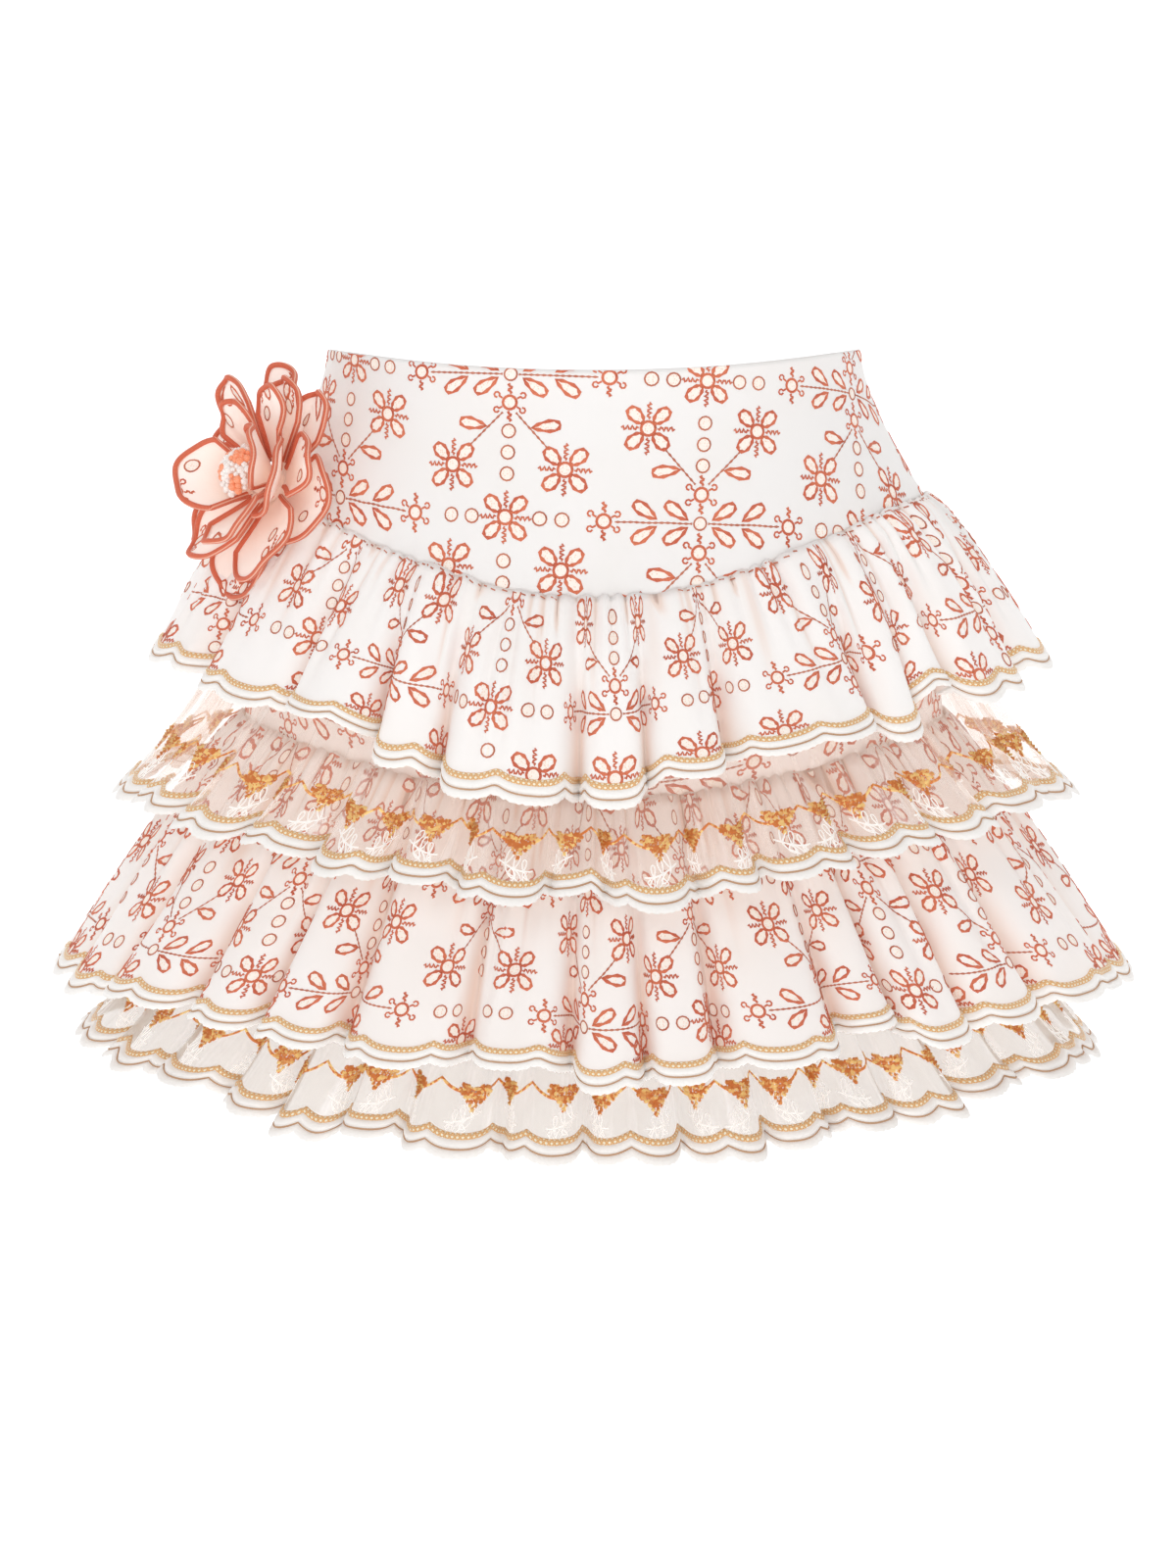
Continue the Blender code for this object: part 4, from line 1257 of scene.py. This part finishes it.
# Each petal, from the outermost round inwards. turn is the way it points, in degrees round the flower from
# the viewer's right, and half_width is in degrees too. reach, foot, tip, cup and wave are in millimetres: how
# far it reaches, its foot's height up the stem, its tip's height, and how far its sides cup up and its edge
# waves. bend is the power its rise runs by, and start is where its wave starts.
Petal = namedtuple("Petal", "turn reach half_width foot tip bend cup wave start")
PETALS = (
    Petal(104.0, 53.0, 22.0, 1.4, 9.0, 1.3, 2.0, 2.4, 0.4),
    Petal(178.0, 32.0, 36.0, 1.4, 7.0, 1.3, 2.0, 0.8, 3.0),
    Petal(262.0, 54.0, 36.0, 1.4, 9.0, 1.3, 2.0, 1.8, 4.4),
    Petal(345.0, 48.0, 38.0, 1.4, 7.0, 1.3, 2.0, 2.0, 5.1),
    Petal(55.0, 50.0, 22.0, 1.4, 9.0, 1.3, 2.0, 2.0, 2.4),
    Petal(80.0, 47.0, 28.0, 3.8, 17.0, 1.2, 2.0, 2.0, 2.9),
    Petal(146.0, 43.0, 28.0, 3.8, 18.0, 1.2, 2.0, 1.6, 3.7),
    Petal(217.0, 44.0, 30.0, 3.8, 18.0, 1.2, 2.0, 1.4, 5.6),
    Petal(300.0, 50.0, 38.0, 3.8, 16.0, 1.2, 2.0, 2.0, 1.9),
    Petal(14.0, 44.0, 28.0, 3.8, 17.0, 1.2, 2.0, 2.0, 0.9),
    Petal(122.0, 49.0, 15.0, 6.6, 27.0, 1.1, 2.0, 1.2, 5.2),
    Petal(175.0, 33.0, 30.0, 6.6, 21.0, 1.2, 2.0, 0.8, 4.6),
    Petal(244.0, 43.0, 33.0, 6.6, 24.0, 1.2, 2.0, 1.6, 0.6),
    Petal(356.0, 36.0, 45.0, 6.6, 27.5, 1.1, 1.0, 2.0, 1.3),
    Petal(72.0, 40.0, 26.0, 6.6, 26.0, 1.1, 2.0, 1.8, 1.2),
    Petal(196.0, 28.0, 54.0, 9.8, 38.0, 1.0, 2.0, 0.6, 1.2),
    Petal(293.0, 38.0, 39.0, 9.8, 34.0, 1.1, 2.0, 1.4, 3.4),
    Petal(28.0, 25.0, 53.0, 9.8, 34.0, 1.0, 1.0, 1.2, 2.2),
    Petal(111.0, 31.0, 26.0, 9.8, 32.0, 1.1, 2.0, 1.0, 2.2),
)
SHEER_PETALS = (5, 11, 17, 19)
PETAL_CLOTH = 0.0006
# The share of its rectangle that a petal's cut fills.
PETAL_FULLNESS = 0.70
BINDING_RADIUS = 0.00135


def flower_frame():
    """The flower's place: its own +Z points away from the skirt and its +X to the viewer's right."""
    turn = math.radians(FLOWER_TURN)
    level = between(WAIST, YOKE_SEAM, FLOWER_HEIGHT / YOKE_SEAM.side_height, YOKE_SPRING)
    seat = level_points(level, np.array([turn]))[0]
    facing, lift = math.radians(FLOWER_FACING), math.radians(FLOWER_LIFT)
    axis = Vector((math.sin(facing) * math.cos(lift), -math.cos(facing) * math.cos(lift), math.sin(lift)))
    right = Vector((0.0, 0.0, 1.0)).cross(axis).normalized()
    place = Matrix((right, axis.cross(right), axis)).transposed().to_4x4()
    place.translation = Vector((seat[0], seat[1], FLOWER_HEIGHT)) + axis * FLOWER_STANDOFF
    return place


FLOWER_PLACE = flower_frame()


def petal_finish(name, cover):
    """Cream cotton with painted peach shade towards the petal's foot, deep in the flower, and a painted glow.
    It hides what lies behind it by its cover.
    """
    petal = Finish(name, Roughness=0.6, Sheen_Weight=0.3, Alpha=cover)
    petal.glow(0.13, rgb(255, 226, 210))
    _, down, _ = petal.parts(petal.place())
    shade = petal.ramp(down, 0.0, 0.030)
    cloudy = petal.noise(60.0, 2.0, petal.place())
    warm = petal.mix(cloudy, rgb(244, 212, 194), rgb(248, 224, 208))
    petal.set("Base Color", petal.mix(shade, warm, rgb(254, 246, 240)))
    petal.bump(petal.noise(900.0, 2.0, petal.place()), 0.0002, 0.4)
    return petal.material


PETAL = petal_finish("petal_cotton", 1.0)
SHEER = petal_finish("petal_organza", 0.62)
PETAL_FLUTTER = 0.0011


def petal_surface(petal, along, across):
    """Points of a petal in the flower's frame. across runs from -1 to 1, and along from foot to tip."""
    lift = petal.foot / 1000.0
    stem = STEM_FOOT_RADIUS + (STEM_TOP_RADIUS - STEM_FOOT_RADIUS) * lift / (STEM_HEIGHT - BACKING_THICKNESS)
    foot, base = stem + FOOT_CLEARANCE, BACKING_THICKNESS + lift
    along = along * (1.0 - TIP_ROUNDING * across**2)
    spread = PETAL_WAIST + (1.0 - PETAL_WAIST) * np.sin(0.72 * math.pi * along)
    angle = math.radians(petal.turn) + math.radians(petal.half_width) * across * spread
    wave = petal.wave / 1000.0 * along**2
    radius = foot + (petal.reach / 1000.0 - foot) * along - PETAL_PINCH * across**2 * along
    radius = radius + 0.8 * wave * np.cos(3.4 * across + petal.start)
    height = base + (petal.tip / 1000.0 - base) * along**petal.bend + petal.cup / 1000.0 * across**2 * along
    height = height + wave * np.sin(4.2 * across + petal.start)
    flutter = PETAL_FLUTTER * soft_step(0.35, 1.0, np.maximum(np.abs(across), along)) * along
    height = height + flutter * np.sin(7.5 * across + 3.0 * petal.start)
    return np.stack([radius * np.cos(angle), radius * np.sin(angle), height], axis=-1)


def surface_area(points):
    """The area of a surface given as rows of points."""
    falling, rising = points[1:, 1:] - points[:-1, :-1], points[:-1, 1:] - points[1:, :-1]
    return float(np.linalg.norm(np.cross(falling, rising), axis=2).sum() / 2.0)


def tube(path, radius, sides):
    """A round cord along a path of points, open at its ends."""
    ahead = np.gradient(path, axis=0)
    ahead /= np.linalg.norm(ahead, axis=1, keepdims=True)
    up = np.array([0.0, 0.0, 1.0])
    side = np.cross(ahead, up)
    side /= np.maximum(np.linalg.norm(side, axis=1, keepdims=True), 1e-6)
    top = np.cross(side, ahead)
    angles = np.arange(sides) * math.tau / sides
    ring = np.cos(angles)[None, :, None] * side[:, None] + np.sin(angles)[None, :, None] * top[:, None]
    faces = grid_faces(len(path) - 1, sides, True)[:, [0, 3, 2, 1]]
    return (path[:, None] + radius * ring).reshape(-1, 3), faces


def binding_finish(name):
    """The petals' satin-stitched binding: deep coral stitches, with a painted highlight, a pale cream line
    along its crown.
    """
    binding = Finish(name, Roughness=0.45, Specular_IOR_Level=0.3)
    along, across, _ = binding.parts(binding.scaled(binding.place(), (1.0 / 0.0006, 1.0, 1.0)))
    stitch = along.math("PINGPONG", along, 0.5) * 2.0
    line = binding.ramp(across.math("PINGPONG", across * 2.0 + 0.35, 0.5), 0.40, 0.48)
    body = binding.mix(stitch, rgb(212, 92, 64), rgb(238, 134, 102))
    binding.set("Base Color", binding.mix(line * 0.75, body, rgb(250, 214, 192)))
    binding.bump(stitch, 0.0003, 0.5)
    return binding.material


BINDING = binding_finish("petal_binding")
BINDING_SIDES = 6
# Where a petal's needlework starts, and how far it keeps from the petal's edge.
PETAL_WORK_FROM, PETAL_WORK_UP = 0.012, 0.0015


def petal_motifs(number):
    """The bits of the repeat that a petal's cut took, as flat work from the petal's middle and foot."""
    flat = Flat()
    side = -1.0 if number % 2 else 1.0
    stitch_ring(flat, side * 0.006, 0.028 - 0.001 * (number % 5), EYELET_RADIUS, CORD_THREAD, IN_CORD)
    if number % 3 == 0:
        stitch_star(flat, -side * 0.008, 0.034)
    if number % 3 == 1:
        stitch_leaf(flat, -side * 0.006, 0.030, 60.0 * side, 0.0, 0.0120, 0.0052)
        stitch_leaf(flat, side * 0.012, 0.038, 120.0 * side, 0.0, 0.0110, 0.0050)
    if number % 3 == 2:
        stitch_flower(flat, side * 0.010, 0.040)
    return laid_out(flat.joined(), [(0.0, 0.0)])


# A petal's grid of shares, and its bound edge: up one side from near the foot, round the tip and down again.
ACROSS = np.linspace(-1.0, 1.0, 31)[None, :]
ALONG = np.linspace(0.0, 1.0, 17)[:, None]
SIDE_RISE = np.linspace(0.12, 1.0, 22)[:-1]
EDGE_ALONG = np.concatenate([SIDE_RISE, np.ones(72), SIDE_RISE[::-1]])
EDGE_ACROSS = np.concatenate([np.full(21, -1.0), np.linspace(-1.0, 1.0, 72), np.full(21, 1.0)])
for number, petal in enumerate(PETALS):
    surface = petal_surface(petal, ALONG, ACROSS)
    lengths, widths = line_lengths(surface, 0), line_lengths(surface, 1)
    cloth = Cloth(surface, widths, lengths.max(), False, lengths / lengths.max())
    name = f"flower_petal_{number + 1:02d}"
    piece = cloth_piece(name + "_cloth", cloth, PETAL_CLOTH, SHEER if number + 1 in SHEER_PETALS else PETAL)
    path = petal_surface(petal, EDGE_ALONG, EDGE_ACROSS)
    cord_points, cord_faces = tube(path, BINDING_RADIUS, BINDING_SIDES)
    turns = np.tile(np.arange(BINDING_SIDES) / BINDING_SIDES, len(path))
    cord_place = np.stack([np.repeat(run_along(path), BINDING_SIDES), turns], axis=1)
    cord = mesh_piece(name + "_binding", cord_points, cord_faces, [BINDING], cord_place)
    limit = above_hem(cloth, PETAL_WORK_UP)
    motifs = needlework_piece(name + "_motifs", cloth, petal_motifs(number), PETAL_WORK_FROM, limit)
    for part in (piece, cord, motifs):
        part.matrix_world = FLOWER_PLACE
        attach(part, "root")
    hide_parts(name)
    area, long = surface_area(surface), float(lengths.max())
    size = (round(area / PETAL_FULLNESS / long, 4), round(long, 4))
    trims = [cord, motifs]


# The beads are sewn close together into the heart of the flower: faceted clear crystals, and round coral
# beads in four clusters of their own.
def bead_finish(name, light, deep, roughness, glow):
    """Glass that runs from one colour to another, bead by bead, with a painted glow in its light colour."""
    glass = Finish(name, Roughness=roughness, IOR=1.55, Coat_Weight=0.6)
    glass.glow(glow, light)
    glass.set("Base Color", glass.mix(glass.ramp(glass.noise(420.0, 1.0), 0.40, 0.62), light, deep))
    return glass.material


CRYSTAL = bead_finish("clear_crystal", rgb(255, 255, 255), rgb(226, 206, 194), 0.08, 0.07)
CORAL_GLASS = bead_finish("coral_glass", rgb(252, 176, 130), rgb(228, 104, 68), 0.15, 0.10)
BEADS = 78
BEAD_RADII = (0.0019, 0.0013, 0.0016, 0.0012, 0.0020)
MOUND_RADIUS, MOUND_HEIGHT = 0.0112, 0.0090
# The middles of the coral clusters, in metres across and up the flower, and how far each reaches.
CORAL_CLUSTERS = (
    (0.0046, 0.0056, 0.0038),
    (-0.0058, -0.0026, 0.0040),
    (0.0050, -0.0062, 0.0030),
    (-0.0048, 0.0066, 0.0028),
)


def bead_mound(name, coral, finish):
    """The coral beads of the mound, or all the others, as one piece."""
    points, faces, total = [], [], 0
    for number in range(BEADS):
        share = math.sqrt((number + 0.5) / BEADS)
        angle = number * math.radians(137.508)
        x, y = MOUND_RADIUS * share * math.cos(angle), MOUND_RADIUS * share * math.sin(angle)
        in_cluster = any(math.hypot(x - across, y - up) < reach for across, up, reach in CORAL_CLUSTERS)
        if in_cluster != coral:
            continue
        height = STEM_HEIGHT + 0.0004 + MOUND_HEIGHT * (1.0 - share**2) + 0.0016 * share
        size = BEAD_RADII[number % len(BEAD_RADII)]
        shape = bmesh.new()
        bmesh.ops.create_icosphere(shape, subdivisions=2 if coral else 1, radius=size)
        points.append(np.array([vertex.co for vertex in shape.verts]) + np.array([x, y, height]))
        faces += [[vertex.index + total for vertex in face.verts] for face in shape.faces]
        total += len(shape.verts)
        shape.free()
    piece = mesh_piece(name, np.concatenate(points), faces, [finish])
    piece.data.polygons.foreach_set("use_smooth", np.full(len(faces), coral))
    piece.matrix_world = FLOWER_PLACE
    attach(piece, "root")
    return piece


crystals = bead_mound("flower_crystals", False, CRYSTAL)
coral_beads = bead_mound("flower_coral_beads", True, CORAL_GLASS)
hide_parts("flower_centre")
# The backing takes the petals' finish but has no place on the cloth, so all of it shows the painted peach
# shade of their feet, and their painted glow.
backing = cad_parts["flower_backing"]
backing.data.materials.clear()
backing.data.materials.append(PETAL)


# The stage is a plain white floor that curves up behind into a backdrop, with soft light from the front, the
# back and above. The camera is level with the waist, 1.5 m away, and looks a little down.
FLOOR_HEIGHT = -0.62
CURVE_START = 1.2
CURVE_STEPS = 12


def stage_piece():
    profile = [(-3.5, FLOOR_HEIGHT), (CURVE_START, FLOOR_HEIGHT)]
    for step in range(1, CURVE_STEPS + 1):
        turn = step / CURVE_STEPS * QUARTER
        profile.append((CURVE_START + math.sin(turn), FLOOR_HEIGHT + 1.0 - math.cos(turn)))
    profile.append((CURVE_START + 1.0, 4.0))
    points = np.array([(side * 4.5, y, z) for y, z in profile for side in (-1.0, 1.0)])
    faces = [(2 * step, 2 * step + 1, 2 * step + 3, 2 * step + 2) for step in range(len(profile) - 1)]
    paper = Finish("white_paper", Roughness=0.9)
    paper.glow(0.35, (1.0, 1.0, 1.0, 1.0))
    light, dark = (0.98, 0.98, 0.98, 1.0), (0.96, 0.96, 0.96, 1.0)
    paper.set("Base Color", paper.mix(paper.noise(4.0, 1.0), light, dark))
    return mesh_piece("stage", points, faces, [paper.material])


stage_piece()


def soft_light(name, place, target, size, watts, colour):
    lamp = bpy.data.lights.new(name, "AREA")
    lamp.shape = "RECTANGLE"
    lamp.size, lamp.size_y = size
    lamp.energy = watts
    lamp.color = colour
    light = bpy.data.objects.new(name, lamp)
    light.location = place
    light.rotation_euler = (Vector(target) - Vector(place)).to_track_quat("-Z", "Y").to_euler()
    bpy.context.scene.collection.objects.link(light)


soft_light("key_light", (-1.3, -2.3, 1.5), (0.0, 0.0, -0.15), (1.4, 1.4), 8.0, (1.0, 0.985, 0.97))
soft_light("front_light", (0.3, -3.2, -0.35), (0.0, 0.0, -0.18), (2.6, 2.0), 26.5, (1.0, 0.975, 0.955))
soft_light("back_light", (0.6, 3.0, 0.9), (0.0, 0.0, -0.15), (2.0, 2.0), 18.0, (1.0, 0.98, 0.97))
soft_light("top_light", (0.0, 0.4, 2.2), (0.0, 0.0, 0.0), (2.2, 2.2), 9.0, (1.0, 1.0, 1.0))
world = bpy.data.worlds.new("studio")
world.use_nodes = True
background = world.node_tree.nodes["Background"]
background.inputs["Color"].default_value = (1.0, 0.995, 0.99, 1.0)
background.inputs["Strength"].default_value = 0.62
bpy.context.scene.world = world
bpy.context.scene.view_settings.view_transform = "Standard"

camera = bpy.data.cameras.new("camera")
camera.sensor_fit = "VERTICAL"
camera.sensor_height = 36.0
camera.lens = 74.25
camera_piece = bpy.data.objects.new("camera", camera)
camera_piece.location = (-0.003, -1.5, -0.012)
camera_piece.rotation_euler = (math.radians(90.0 - 7.2), 0.0, 0.0)
bpy.context.scene.collection.objects.link(camera_piece)
bpy.context.scene.camera = camera_piece
